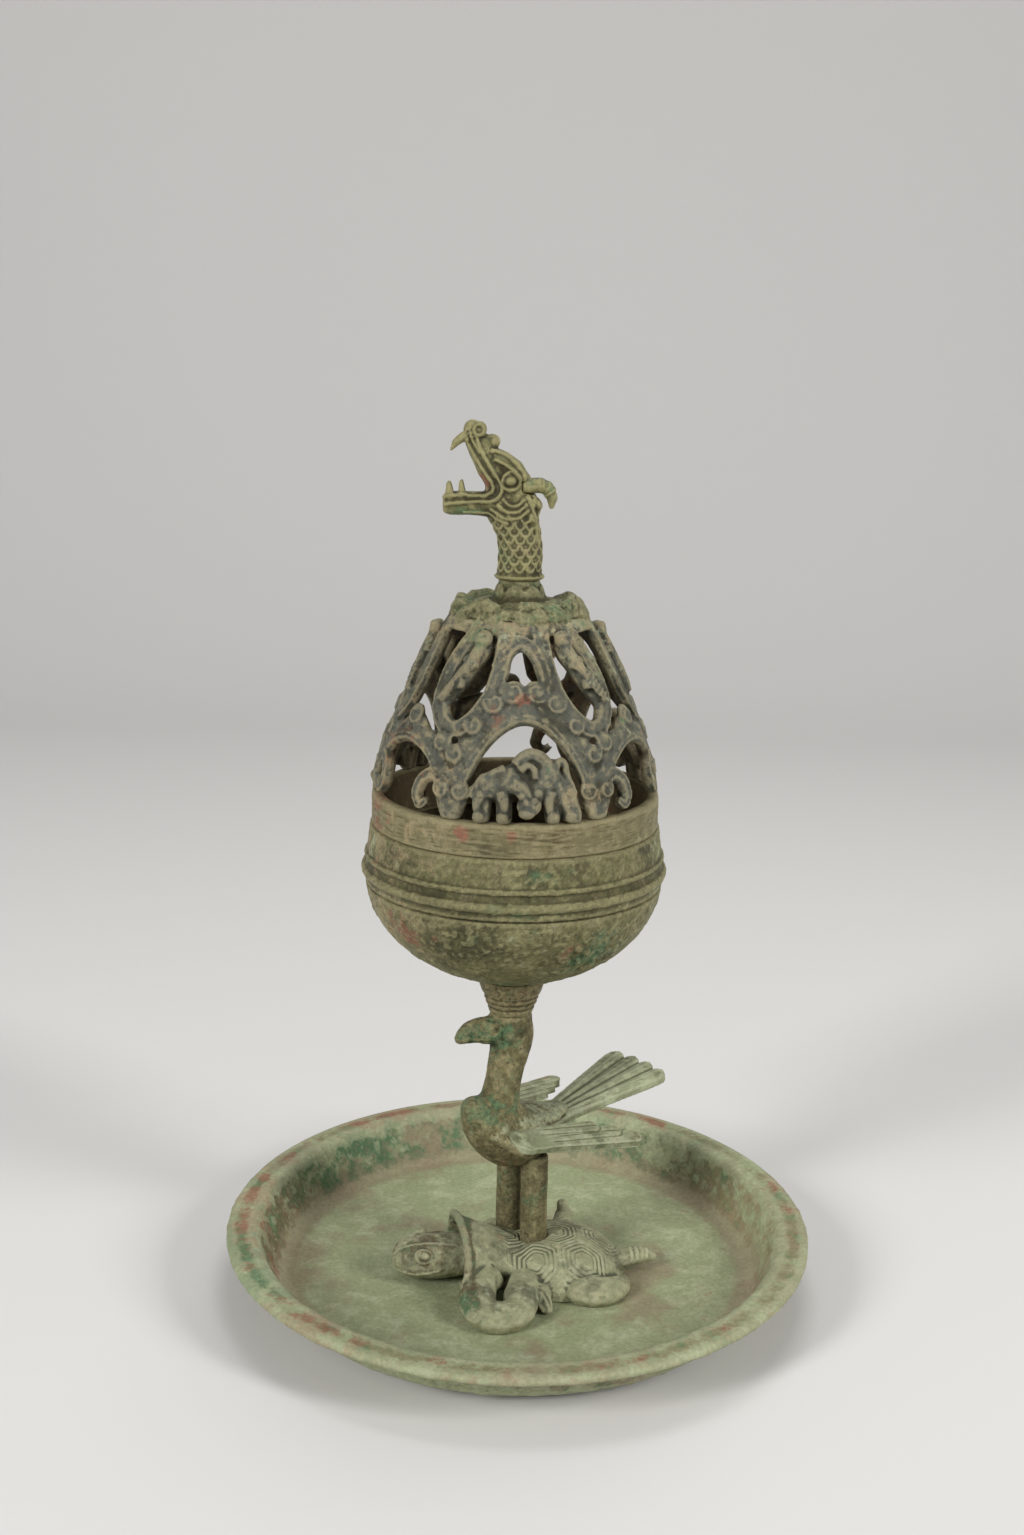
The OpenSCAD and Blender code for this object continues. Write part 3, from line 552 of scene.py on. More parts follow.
# Each finish: name, three colours, metal, roughness, fineness and shift of its pattern, then what is special
FINISH_ROWS = (
    ("tray", (0.27, 0.3, 0.165), (0.36, 0.38, 0.235), (0.24, 0.19, 0.12), 0.04, (0.55, 0.8), 0.6, 0,
     {"fleck": 0.7, "deep": 0.4}),
    ("tortoise", (0.27, 0.275, 0.16), (0.4, 0.39, 0.245), (0.08, 0.085, 0.05), 0.05, (0.55, 0.8), 1.2, 1.3,
     {"crust": 0.0006}),
    ("leg", (0.155, 0.135, 0.063), (0.275, 0.235, 0.12), (0.055, 0.044, 0.02), 0.1, (0.45, 0.7), 1.2, 2.1,
     {"crust": 0.0015, "grit": 0.9}),
    ("bird", (0.155, 0.135, 0.06), (0.3, 0.26, 0.135), (0.05, 0.043, 0.018), 0.1, (0.48, 0.72), 1.5, 3.2,
     {"crust": 0.0014, "grit": 0.9}),
    ("feather", (0.24, 0.26, 0.15), (0.35, 0.36, 0.23), (0.1, 0.1, 0.05), 0.05, (0.52, 0.76), 1, 4.4,
     {"deep": 0.6}),
    ("bowl", (0.15, 0.143, 0.062), (0.29, 0.265, 0.135), (0.05, 0.046, 0.02), 0.12, (0.4, 0.68), 0.8, 5.3,
     {"deep": 0.38, "fleck": 0.5, "crust": 0.0014, "grit": 0.7}),
    ("band", (0.155, 0.135, 0.064), (0.28, 0.245, 0.135), (0.065, 0.055, 0.026), 0.15, (0.4, 0.66), 1.1, 5.9,
     {"fleck": 0.6, "crust": 0.0005}),
    ("hill", (0.088, 0.091, 0.07), (0.31, 0.268, 0.155), (0.036, 0.033, 0.019), 0.12, (0.42, 0.7), 1.3, 6.1,
     {"edge": 0.55, "fleck": 0.2, "crust": 0.0008}),
    ("crown", (0.165, 0.165, 0.078), (0.31, 0.285, 0.155), (0.06, 0.052, 0.022), 0.08, (0.5, 0.75), 1.4, 8.3,
     {"crust": 0.0016, "grit": 0.9}),
    ("dragon", (0.135, 0.13, 0.054), (0.29, 0.262, 0.125), (0.036, 0.03, 0.012), 0.2, (0.36, 0.62), 1.6, 7.5,
     {"edge": 0.65}))
FINISHES = {name: patina(f"{name} patina", *looks, **special) for name, *looks, special in FINISH_ROWS}
SIDES = ((-1, "near"), (1, "far"))

# Tray: dished floor, leaning wall, flat rim, low foot
TRAY_OUTLINE = [(0, FLOOR_Z), (79.8, FLOOR_Z), (82, FLOOR_Z + 1.1), (88.9, 19.3), (90, 20), (99.3, 20),
                (100, 19.3), (100, 17.7), (99.3, 17), (92.2, 17), (84.2, FLOOR_Z + 1.1), (77.2, 1), (75, 0),
                (63, 0), (62, 1), (0, 1)]


def tray_reach(co):
    return np.hypot(co[:, 0], co[:, 1])


def tray_crusts(mesh):
    co = points_of(mesh)
    r, a = tray_reach(co), np.degrees(np.arctan2(co[:, 1], co[:, 0]))
    rim = smoothstep(87, 91, r)
    wall = smoothstep(80, 83, r) * (1 - rim)
    floor = 1 - smoothstep(79, 82, r)
    # left: the left side of the tray, where the wall gets rust and, as painted shadow, extra brown
    left = near(180 - np.abs(a), 34)
    patches = near(np.abs(a) - 172, 20)
    patches = patches + spots(a, r, (1, 122, 16), (1, -128, 12), (0.8, 62, 10), (0.8, 15, 9), (0.7, -75, 8))
    crusts(mesh,
           rust=rim * (0.26 + 0.45 * np.clip(patches, 0, 1) + 0.3 * cloudy(co, 9, 72))
           + 0.2 * floor * smoothstep(0, 0.5, cloudy(co, 36, 71)) + 0.4 * wall * left,
           green=wall * (0.35 + 0.3 * near(a - 140, 22) + 0.3 * near(a - 85, 30))
           + rim * (0.4 + 0.4 * near(a + 160, 18)) + 0.16 * floor * smoothstep(0.2, 0.8, cloudy(co, 34, 73)),
           earth=wall * (0.2 + 0.4 * near(a - 12, 30)) + 0.5 * rim + 0.1 * floor,
           # brown: on the wall the extra at the left and at the right back is painted shade; below 2.4 mm it
           # is painted shade under the tray
           brown=wall * (0.4 + 0.35 * left + 0.2 * near(a - 25, 30)) + 0.6 * (co[:, 2] < 2.4) + 0.56 * rim,
           pale=0.16 * floor + 0.2 * floor * near(r - 58, 5) + 0.1 * rim)


def above_foot(co):
    return np.where(tray_reach(co) > 98, 0.2, 1) * (co[:, 2] > 0.6)


def on_wall(co):
    return smoothstep(79, 84, tray_reach(co)) * (co[:, 2] > 2) * (co[:, 2] < 19.2)


tray = turned(dense(TRAY_OUTLINE, 1.3), 448)
weathered(tray, 0.22, 9, 0.1, 11, above_foot)
weathered(tray, 0.3, 3.2, 0.2, 15, on_wall)
tray_crusts(tray)
piece("tray_dish", tray, (3, 0.12), "base", "tray_patina", "tray", ["tray"])

# Bowl: half an oval, two beads, a cut line and blisters of corrosion
BOWL_R, BOWL_DEPTH = 48.8, 36.6


def arc(low, high, step):
    return np.radians(np.arange(low, high, step))


def bowl_wall(share):
    """Radius and height on the wall that leans in from the belly to the mouth."""
    return np.array((BOWL_R - 1.5 * share, BOWL_DEPTH + 17 * share))


def bead(share, size):
    return [tuple(bowl_wall(share) + (size * math.cos(t), size * math.sin(t))) for t in arc(-80, 81, 20)]


def bowl_outline():
    belly = [(BOWL_R * math.cos(t), BOWL_DEPTH - (BOWL_DEPTH - 0.6) * math.sin(t)) for t in arc(86, 0, -2)]
    outer = [(0, 0), (11, 0)] + [p for p in belly if 11.5 < p[0] and p[1] < 33.6]
    outer += [(48.68, 33.75), (47.9, 33.85), (47.9, 34.5), (48.74, 34.6), (48.8, 36.0)]
    outer += bead(0.12, 1.6) + bead(0.41, 1.0)
    lip = [tuple(bowl_wall(0.97))] + [tuple(bowl_wall(1) - p) for p in ((0.5, 0), (1.9, 0), (2.4, 0.5))]
    inner = [(46.4 * math.cos(t), BOWL_DEPTH - 33.8 * math.sin(t)) for t in arc(0, 79, 3)]
    return dense(outer + lip, 0.62) + dense(inner + [(0, 3.4)], 2.4)


def bowl_crusts(mesh):
    co = points_of(mesh)
    a, r = round_stem(co)
    z = co[:, 2] - BOWL_Z
    blister = spots(a, z, (1, 12, 9, 48, 3), (0.9, 2, 13, 38, 3), (1, 34, 16, 20, 7), (0.5, -22, 12, 25, 6),
                    (0.8, -150, 40, 28, 12), (0.6, 120, 30, 40, 8))
    inside = r < 46.9 * np.sqrt(np.clip(1 - ((BOWL_DEPTH - np.minimum(z, BOWL_DEPTH)) / 34.5) ** 2, 0, 1))
    crusts(mesh,
           green=0.18 + 0.5 * blister + 0.2 * (z < 8) + 0.2 * near(a - 75, 14),
           rust=spots(a, z, (0.8, -46, 16, 26, 8), (0.5, -62, 10, 44, 6), (0.6, 26, 9, 24, 5),
                      (0.4, 170, 30)),
           # earth: tan crust, most at the left; the rise at 70 degrees is painted light and the dip at the
           # front middle painted shade
           earth=0.3 + spots(a, z, (0.3, -66, 30), (0.15, 70, 20), (-0.06, 6, 30)),
           # brown: the extra at the front middle of the upper bowl is painted shade
           brown=0.7 * inside + 0.1 + (0.18 + 0.15 * near(a - 4, 26)) * smoothstep(30, 38, z),
           # pale: the spots on both sides, 70 degrees out from the front, are painted light
           pale=0.1 + 0.1 * smoothstep(36, 28, z) + spots(a, z, (0.3, -70, 26), (0.25, 70, 22)))
    rough = 0.5 * np.abs(cloudy(co, 2.6, 31)) + 1.1 * smoothstep(0.1, 0.4, cloudy(co, 2.4, 37, 2))
    lumps = np.clip(0.16 * smoothstep(36, 30, z) + blister, 0, 1) * rough
    set_points(mesh, co + (lumps * ~inside * (r < 49.7))[:, None] * normals_of(mesh))


def on_stem(mesh, z):
    set_points(mesh, points_of(mesh) + (STEM_X, 0, z))
    return mesh


bowl = on_stem(turned(bowl_outline(), 440, 0), BOWL_Z)
bowl_crusts(bowl)
weathered(bowl, 0.17, 2.4, 0.14, 21)
weathered(bowl, 0.12, 1.3, 0.12, 23)
piece("bowl_shell", bowl, (3, 0.1), "base", "bowl_patina", "bowl", ["bowl"])

# Collar between the bird's head and the bowl
COLLAR_R, COLLAR_H = 7.2, 12.5


def collar_outline():
    rows = [(0, 0), (COLLAR_R, 0)]
    for k in np.linspace(0.03, 1, 40):
        groove = 0.25 * (1 + math.sin(COLLAR_H * k * 3.2)) * (0.15 < k < 0.6)
        rows.append((COLLAR_R + 4.4 * k ** 0.9 - groove, COLLAR_H * k))
    return rows + [(0, COLLAR_H)]


collar = on_stem(turned(dense(collar_outline(), 0.6), 120, 1), BOWL_Z - COLLAR_H - 0.1)
weathered(collar, 0.35, 2.6, 0.4, 41)
co = points_of(collar)
crusts(collar, earth=0.4 + 0.3 * cloudy(co, 5, 43), rust=0.2 + 0.3 * cloudy(co, 6, 47),
       green=0.25 + 0.3 * smoothstep(BOWL_Z - 8, BOWL_Z - 13, co[:, 2]),
       brown=0.2 + 0.4 * smoothstep(0, 0.5, cloudy(co, 4, 45)))
piece("stem_socket", collar, (4, 0.1), "base", "leg_patina", "leg", ["stem_collar"])

# Lid band: plain ring with file marks, and the lip inside the bowl
BAND_OUTLINE = [(42.0, -5), (44.4, -5), (44.4, 0), (46.8, 0), (46.8, 10.4), (46.2, 11), (43.4, 11), (42.0, 0),
                (42.0, -5)]


def file_marks(mesh):
    co = points_of(mesh)
    a, r = round_stem(co)
    z = co[:, 2] - MOUTH_Z
    outside = r > 46.3
    unrolled = np.stack([a * 0.12, z * 3.2 + a * 0.22, r * 0], 1)
    scratch = lattice(unrolled, 1.0, 51) * outside * (z > 0.5) * (z < 10)
    set_points(mesh, co + ((0.09 * scratch - 0.05) * outside)[:, None] * normals_of(mesh))
    crusts(mesh,
           rust=spots(a, z, (0.9, -20, 5, 7, 3.5), (0.8, -1, 3, 7, 2.5), (0.65, -70, 14), (0.3, 140, 30)),
           earth=0.16 + 0.35 * near(a + 40, 24),
           pale=spots(a, z, (0.25, -34, 12), (0.2, 60, 16)),
           green=spots(a, z, (0.25, -30, 8), (0.3, 100, 30), (0.2, -120, 20)),
           brown=0.75 * (r < 45) + (0.12 + 0.35 * near(a - 14, 26)) * (z > 0))


band = on_stem(turned(dense(BAND_OUTLINE, 0.5), 400), MOUTH_Z)
file_marks(band)
piece("lid_ring", band, (3, 0.08), "lid", "bowl_patina", "band", ["lid_band"])

# Hill of the lid: ribbons with raised edges, cloud lobes on the arches and small beasts in the loops
HILL_H, HILL_T, BAND_D, HILL_TOP_D = 57.5, 3.6, 93.6, 43
HILL_FALL = (BAND_D - HILL_TOP_D) / 2
FRONT_TURN, THIRD = 4, 120
ARCH_HALF, TALL_RISE, SHORT_RISE, LOOP_TURN = 30, 31, 22.5, 32


def hill_radius(h):
    k = h / HILL_H
    return BAND_D / 2 - 0.2 - HILL_FALL * (0.4 * k + 0.6 * k * k) - HILL_T / 2


def hill_out(rows):
    """The way the hill faces at rows of angle and height."""
    a = np.radians(rows[:, 0])
    out = np.stack([np.sin(a), -np.cos(a), HILL_FALL * (0.4 + 1.2 * rows[:, 1] / HILL_H) / HILL_H], 1)
    return out / np.linalg.norm(out, axis=1)[:, None]


def hill_place(rows, across, lift):
    """Places on the hill's outside from rows of angle and height, moved across the line and off the skin."""
    a, h = np.radians(rows[:, 0]), rows[:, 1]
    points = np.stack([hill_radius(h) * np.sin(a), -hill_radius(h) * np.cos(a), h], 1)
    out = hill_out(rows)
    side = np.cross(np.gradient(points, axis=0), out)
    side /= np.linalg.norm(side, axis=1)[:, None]
    across, lift = (np.broadcast_to(v, len(rows))[:, None] for v in (across, lift))
    return points + side * across + out * (HILL_T / 2 + lift) + (STEM_X, 0, HILL_Z)


def hill_stud(relief, angle, height, size, lift):
    rows = np.array([[angle, height], [angle + 0.4, height]])
    relief.stud(hill_place(rows, 0, lift)[0], size, hill_out(rows)[0])


def hill_line(relief, rows, girth, across, lift):
    """Line on the hill through rows of angle and height; pairs of numbers run from its start to its end."""
    path = flow([(angle, height, 0) for angle, height in rows], 1)[:, :2]
    girth, across = (v if np.isscalar(v) else np.linspace(*v, len(path)) for v in (girth, across))
    relief.line(hill_place(path, across, lift), girth)


def ribbon_edges(relief, rows, girth, start, end, lift):
    """Lines along both edges of a ribbon, whose half width goes from start to end."""
    for side in (1, -1):
        hill_line(relief, rows, girth, (side * start, side * end), lift)


def arch_rows(mid, rise, across, sweep=np.linspace(4, 176, 48)):
    """Rows of angle and height along an arch of the hill."""
    a = np.radians(sweep)
    rows = np.stack([mid - ARCH_HALF * np.cos(a), rise * np.sin(a)], 1)
    points = hill_place(rows, across, 0) - (STEM_X, 0, HILL_Z)
    turns = np.degrees(np.arctan2(points[:, 0], -points[:, 1]))
    return np.stack([mid + (turns - mid + 180) % 360 - 180, points[:, 2]], 1)


def cloud_lobe(relief, angle, height, size, spin, start):
    """Round lobe with a rim that curls in to a small knob."""
    hill_stud(relief, angle, height, (size, size, 1.5), -0.7)
    t = np.linspace(0, 1, 24)
    phase, reach = start + spin * 1.75 * math.pi * t, size * (0.86 - 0.58 * t)
    turns = angle + np.degrees(reach * np.cos(phase)) / hill_radius(height)
    rows = np.stack([turns, height + reach * np.sin(phase)], 1)
    relief.line(hill_place(rows, 0, 1.5 * np.sqrt(1 - (reach / size) ** 2) - 0.75), 0.42)


# Upper tier: degrees from the middle and share of the hill's height, or a height for the scroll
LOOP = [(-19, 1.02), (-19, 0.9), (-17.6, 0.76), (-14, 0.63), (-7, 0.515), (1, 0.45), (8.6, 0.47),
        (14.4, 0.56), (15.8, 0.69), (13, 0.82), (7, 0.92), (0, 1.02)]
HOOK = [(-16, 0.76), (-13, 0.825), (-8, 0.872), (-2, 0.89), (4.6, 0.87), (9.6, 0.805), (12, 0.72),
        (10.6, 0.66), (7.4, 0.675)]
SCROLL = [(29, 4), (25.4, 10), (20, 12.6), (14.8, 10.4), (12.8, 5.8), (15.8, 2.4), (19.4, 4.6)]
CREATURE = [(-3.8, 0.89), (-2.4, 0.84), (1, 0.775), (6.4, 0.69), (13, 0.575)]
LIMBS = [[(1, 0.79), (-1.4, 0.78), (-3, 0.75)], [(1.6, 0.78), (4, 0.795), (5.6, 0.775)],
         [(6, 0.695), (3.6, 0.68), (3, 0.645)]]
TALL_LOBES, SHORT_LOBES = (14, 33, 52, 70, 83, 97, 110, 128, 147, 166), (18, 54, 90, 126, 162)


def drawn(rows, mid, side=1, unit=HILL_H):
    return [(mid + side * x, unit * h) for x, h in rows]


def cloud_arch(relief, mid, rise, lobes, crest):
    """Two lines inside the arch and a row of cloud lobes outside it, highest at the crest."""
    for gap, lift, girth in ((2.7, -0.3, 0.45), (1.3, -0.1, 0.4)):
        relief.line(hill_place(arch_rows(mid, rise, gap), 0, lift), girth)
    for at in lobes:
        top = crest * math.sin(math.radians(at)) ** 8
        angle, height = arch_rows(mid, rise, -4.1 - top, np.array([at - 1, at + 1])).mean(0)
        spin, start = (1, 0.9) if at < 90 else (-1, 0.1)
        cloud_lobe(relief, angle, height, 3.5 + 0.3 * top, spin, math.pi * start)


def creature(relief, mid, side):
    """Small beast that climbs in a loop: body, head, two ears, limbs and ribs."""
    body = drawn(CREATURE, mid, side)
    head_turn, top = body[0]
    hill_line(relief, body, (2.2, 1.3), 0, 0.3)
    hill_stud(relief, head_turn, top, (3.2, 3, 2.4), 0.9)
    hill_stud(relief, head_turn - 1.6 * side, top + 0.6, (0.8, 0.8, 0.8), 3)
    hill_stud(relief, head_turn + 1.4 * side, top + 0.4, (0.8, 0.8, 0.8), 3)
    for limb in LIMBS:
        hill_line(relief, drawn(limb, mid, side), (1.5, 1.2), 0, 0.2)
    for at in np.linspace(0.35, 0.9, 6):
        x, h = np.array(body[2]) * (1 - at) + np.array(body[4]) * at
        hill_line(relief, [(x - 2.6, h - 1.2), (x, h + 0.2), (x + 2.6, h + 1.2)], 0.45, 0, 1.6)


def hill_relief(_):
    relief = Relief()
    for k in range(3):
        base = FRONT_TURN + k * THIRD
        between = base + THIRD / 2
        cloud_arch(relief, base, TALL_RISE, TALL_LOBES, 2.4)
        cloud_arch(relief, between, SHORT_RISE, SHORT_LOBES, 1)
        for side in (1, -1):
            mid = base + LOOP_TURN * side
            ribbon_edges(relief, drawn(LOOP, mid, side), 0.42, 2.2, 2.2, -0.25)
            creature(relief, mid, side)
            ribbon_edges(relief, drawn(SCROLL, between, side, 1), 0.42, 1.7, 0.85, -0.1)
        ribbon_edges(relief, drawn(HOOK, base), 0.45, 1.9, 1, -0.15)
    return relief


def hill_crusts(mesh):
    co = points_of(mesh)
    a, r = round_stem(co)
    h = co[:, 2] - HILL_Z
    inward = ((co - (STEM_X, 0, 0)) * (1, 1, 0) * normals_of(mesh)).sum(1) < 0
    inside = inward & (r < hill_radius(h) + 0.6)
    slate, high = near(a - 4, 26) * near(h - 24, 12), smoothstep(36, 56, h)
    crusts(mesh,
           rust=spots(a, h, (0.75, 3, 7, 36, 3), (0.5, -62, 22, 14, 16), (0.3, -8, 6, 31, 4), (0.4, 160, 30),
                      (0.35, 80, 14, 20, 10), (0.25, -14, 10, 33, 6)),
           green=spots(a, h, (0.4, -30, 16, 52, 6), (0.3, 62, 20), (0.35, 12, 4, 13, 7))
           + 0.3 * smoothstep(44, 57, h),
           earth=(0.26 + 0.35 * smoothstep(-0.1, 0.6, cloudy(co, 14, 83)) + 0.35 * high - 0.5 * slate)
           * ~inside,
           pale=(0.08 + 0.3 * high + 0.25 * near(a - 70, 30)) * ~inside,
           brown=0.8 * inside)


hill = cast(["lid_openwork"], 0.48, 9, 0.1, hill_relief)
hill = modified(hill, "DECIMATE", ratio=0.67, use_collapse_triangulate=True)
weathered(hill, 0.12, 2.6, 0.12, 61)
hill_crusts(hill)
piece("hill_openwork", hill, (3, 0.11), "lid", "hill_patina", "hill", ["lid_openwork"])

# Beasts in the tall arches: lines of degrees and height, with thickness and lift, then masses and paws
BEAST_LINES = (
    ([(-4, 16.6), (-1, 18.8), (3, 19.6), (7.4, 17.6), (10.6, 13)], (2.2, 2.6), 0.1),
    ([(-18, 9.4), (-14, 13), (-8, 15)], (1.8, 2.4), 0.1),
    ([(-2.4, 15), (0.4, 16.6), (3, 15.4), (3.4, 12.8)], (1.2, 1), 2.1),
    ([(9.4, 9), (8.6, 5.4), (10, 1.8)], (2.1, 1), 0.4),
    ([(12, 11.4), (15, 6.4), (17, 1.8)], (2.1, 0.9), 0.2),
    ([(-17, 8.6), (-18.6, 5), (-17.8, 1.8)], (2.2, 1), 0.3),
    ([(-9.6, 9), (-8.2, 5.4), (-9, 1.8)], (2.3, 1), 0.4),
    ([(-5, 11.6), (-1.4, 9.6), (1.4, 6.4)], (2.8, 2.6), 0.5),
    ([(12, 14.4), (13.6, 17.8), (16.2, 17.4), (17, 13.6), (20, 8)], (1.2, 0.9), 0.2),
    ([(-18.6, 9), (-22, 9.4), (-23.4, 6.4)], (1, 0.7), -0.4))
BEAST_MASSES = (
    (-13.4, 11, (5.6, 4.4, 2.8), 0), (-7.4, 12.2, (5, 4.4, 2.8), 0.1), (8, 13, (4.6, 5.2, 2.8), 0.1),
    (1.6, 5.2, (3.5, 3.2, 2.8), 1), (0, 2.9, (2.6, 1.7, 2), 2.2), (-0.4, 6.2, (0.9, 0.9, 0.8), 3.4),
    (3, 6.8, (0.9, 0.9, 0.8), 3.4), (4.4, 8.6, (1.5, 1.4, 1.4), 1.6), (-1.6, 8, (1.4, 1.3, 1.3), 2))
PAWS = tuple((x, 1.5, (1.9, 1.9, 1.7), 0.7) for x in (10.2, 17.2, -17.8, -8.9))


def beast_relief(_):
    relief = Relief()
    for k in range(3):
        base = FRONT_TURN + k * THIRD
        for rows, girth, lift in BEAST_LINES:
            hill_line(relief, drawn(rows, base, 1, 1), girth, 0, lift)
        for x, h, size, lift in BEAST_MASSES + PAWS:
            hill_stud(relief, base + x, h, size, lift)
    return relief


beasts = cast(["lid_beasts"], 0.42, 7, 0.1, beast_relief, 4)
weathered(beasts, 0.12, 2.4, 0.1, 65)
hill_crusts(beasts)
piece("hill_beasts", beasts, (5, 0.1), "lid", "hill_patina", "hill", ["lid_beasts"])

# Crown of clouds round the column
CLOUDS, SEAM_CLOUDS = 11, 16
CLOUD_FOLD = ((19, 1, 0.1), (16, 4.5, 0.25), (12, 6.5, 0.1), (8.4, 9, 0.02))


def on_crown(reach, angle, rise):
    return STEM_X + reach * math.cos(angle), reach * math.sin(angle), CROWN_Z + rise


def crown_relief(tree):
    relief = Relief()
    for k in range(CLOUDS):
        a = math.radians(360 * k / CLOUDS + 9 * math.sin(5.1 * k))
        spot = on_crown(15.5 + 4 * math.sin(2.3 * k), a, 4 + 2 * math.cos(3.7 * k))
        size = (4.6 + math.sin(1.7 * k), 4 + math.cos(2.9 * k), 3)
        relief.stud(on_skin(tree, [spot], -1.3)[0], size, (math.cos(a), math.sin(a), 0.8))
        fold = flow([on_crown(reach, a + turn_by, rise) for reach, rise, turn_by in CLOUD_FOLD])
        relief.line(on_skin(tree, fold, -0.1), 0.7)
    for k in range(SEAM_CLOUDS):
        a = math.radians(360 * k / SEAM_CLOUDS + 8 * math.sin(4.3 * k))
        size = (4.2 + 1.2 * math.sin(3.3 * k), 2.6 + 0.8 * math.cos(5.9 * k), 1.7)
        relief.stud(on_crown(20.6, a, 0.6 + 1.1 * math.sin(2.1 * k)), size, (math.cos(a), math.sin(a), 0.45))
    return relief


crown = cast(["lid_crown"], 0.42, 5, 0.1, crown_relief, 4)
weathered(crown, 0.45, 3.4, 0.35, 67)
co = points_of(crown)
reach, rise = round_stem(co)[1], co[:, 2] - CROWN_Z
co[:, 2] -= 0.6 * smoothstep(7.2, 9, reach) * (1 - smoothstep(14, 20, reach)) * np.maximum(rise - 1.5, 0)
set_points(crown, co)
crusts(crown, green=0.36 + 0.35 * cloudy(co, 9, 91), earth=0.27 + 0.3 * cloudy(co, 7, 95),
       pale=0.16 + 0.3 * cloudy(co, 8, 92),
       rust=0.45 * near(reach - 8, 3) * smoothstep(-0.1, 0.5, cloudy(co, 7, 94)))
piece("hill_crown", crown, (5, 0.12), "lid", "hill_patina", "crown", ["lid_crown"])

# Dragon: lips, brows, eyes, mane and scales; lines of one side with their thickness
DRAGON_LINES = (
    ([(-24.6, 2.6, 25.4), (-21, 3.4, 26.2), (-16, 3.9, 26.6), (-11.5, 4.4, 26.8), (-9, 4.9, 27.6),
      (-8.8, 4.9, 29.2), (-10.6, 4.5, 32), (-13.2, 3.7, 36.2), (-15.6, 3.1, 40.4), (-17.2, 2.7, 43.6),
      (-17.6, 2, 45.8)], 0.7),
    ([(-24.2, 3.2, 23.2), (-20, 4, 23.8), (-14, 4.7, 24.4), (-9, 5.6, 24.8), (-6.4, 6, 26.6), (-6, 5.9, 29.4),
      (-8, 5.3, 32.6), (-11.2, 4.7, 37.6), (-13.4, 4.1, 42), (-14.2, 3.4, 45)], 0.6),
    ([(-9.6, 3.6, 40), (-6, 4.8, 39.4), (-2.4, 5.8, 37), (0.6, 5.8, 33.4), (1.6, 5.2, 30.4)], 0.7),
    ([(-8.4, 4.6, 37.6), (-5.4, 5.6, 36.4), (-2.4, 6.3, 34.4), (-0.6, 6.2, 32)], 0.55),
    ([(-5.6, 6, 25.4), (-3.4, 6.4, 23.4), (-0.6, 6.4, 23.6), (1, 6, 25.4)], 0.5),
    ([(-7.4, 5.8, 23.4), (-4.4, 6.3, 21.4), (-0.6, 6.4, 21.6), (2, 6, 23.8)], 0.5),
    ([(-9.6, 5.4, 21.8), (-5.4, 6.3, 19.4), (-0.6, 6.4, 19.6), (2.6, 5.8, 22)], 0.5),
    ([(2, 5.4, 27), (3.8, 5.2, 22), (5.2, 4.6, 16), (5.9, 3.4, 11)], 0.7),
    ([(3.6, 4.4, 26.4), (5.2, 3.8, 21), (6.2, 2.4, 15)], 0.6),
    ([(-18, 3.6, 20.4), (-12, 4.8, 20), (-8, 5.8, 18.8), (-4, 6.4, 17.8)], 0.5),
    ([(-12.4, 2.6, 39.6), (-14.6, 2.2, 43), (-15.4, 1.6, 46)], 0.5))
SCALE_ROWS, SCALES_ROUND = 8, 12


def dragon_relief(tree):
    relief = Relief()
    skin = lambda rows, lift=0.0: on_skin(tree, from_dragon(rows), lift)
    for s in (-1, 1):
        for rows, girth in DRAGON_LINES:
            relief.line(skin(flow([(x, s * y, z) for x, y, z in rows], 0.6), 0.1), girth)
        relief.line(skin(ring((-3.2, s * 6.4, 31), 2.9, (0, s, 0)), 0.1), 0.55)
        relief.stud(skin([(-3.2, s * 7, 31)])[0], (1.6, 1.6, 1.4))
        relief.line(skin(ring((-13.4, s * 4.6, 46.4), 1.8, (0, s, 0)), 0.1), 0.6)
        relief.stud(from_dragon([(-19.8, s * 2.9, 24.6)])[0], (1.3, 1.0, 1.3))
    across = np.linspace(-1, 1, 7)
    for row in range(SCALE_ROWS):
        for j in range(SCALES_ROUND):
            a = 2 * math.pi * (j + 0.5 * (row % 2) + across / 2) / SCALES_ROUND
            z = 5.4 + 2.2 * row - 2.6 * np.sqrt(np.clip(1 - across ** 2, 0, 1))
            relief.line(skin(np.stack([7.4 * np.cos(a), 7.4 * np.sin(a), z], 1), 0.05), 0.36)
    relief.line(skin(ring((0, 0, 0.9), 7.6, (0, 0, 1), 40)), 0.5)
    return relief


def dragon_crusts(mesh):
    p = to_dragon(points_of(mesh))
    x, z = p[:, 0], p[:, 2]
    mouth = near(x + 11, 3.4) * near(z - 31.5, 4) * (np.abs(p[:, 1]) < 4.2)
    crusts(mesh,
           rust=0.9 * mouth + 0.2 * smoothstep(0.2, 0.8, cloudy(p, 7, 77)),
           green=spots(x, z, (0.75, -16, 8, 20.4, 3), (0.5, -5, 3, 9, 8))
           + 0.25 * smoothstep(0.1, 0.8, cloudy(p, 9, 79)),
           earth=0.25 + 0.25 * cloudy(p, 6, 81))


dragon = cast(["dragon_head"], 0.3, 9, 0.12, dragon_relief)
weathered(dragon, 0.1, 1.8, 0.08, 75)
dragon_crusts(dragon)
piece("dragon_finial", dragon, (5, 0.08), "finial", "dragon_patina", "dragon", ["dragon_head"])

# Horns: rings at places along the horn, with the lean of each
HORN_RINGS = ((4.2, 29.4, 0), (5.6, 29.5, 0), (7, 29.3, 0), (8.2, 28.6, 25), (9.2, 27.4, 55))


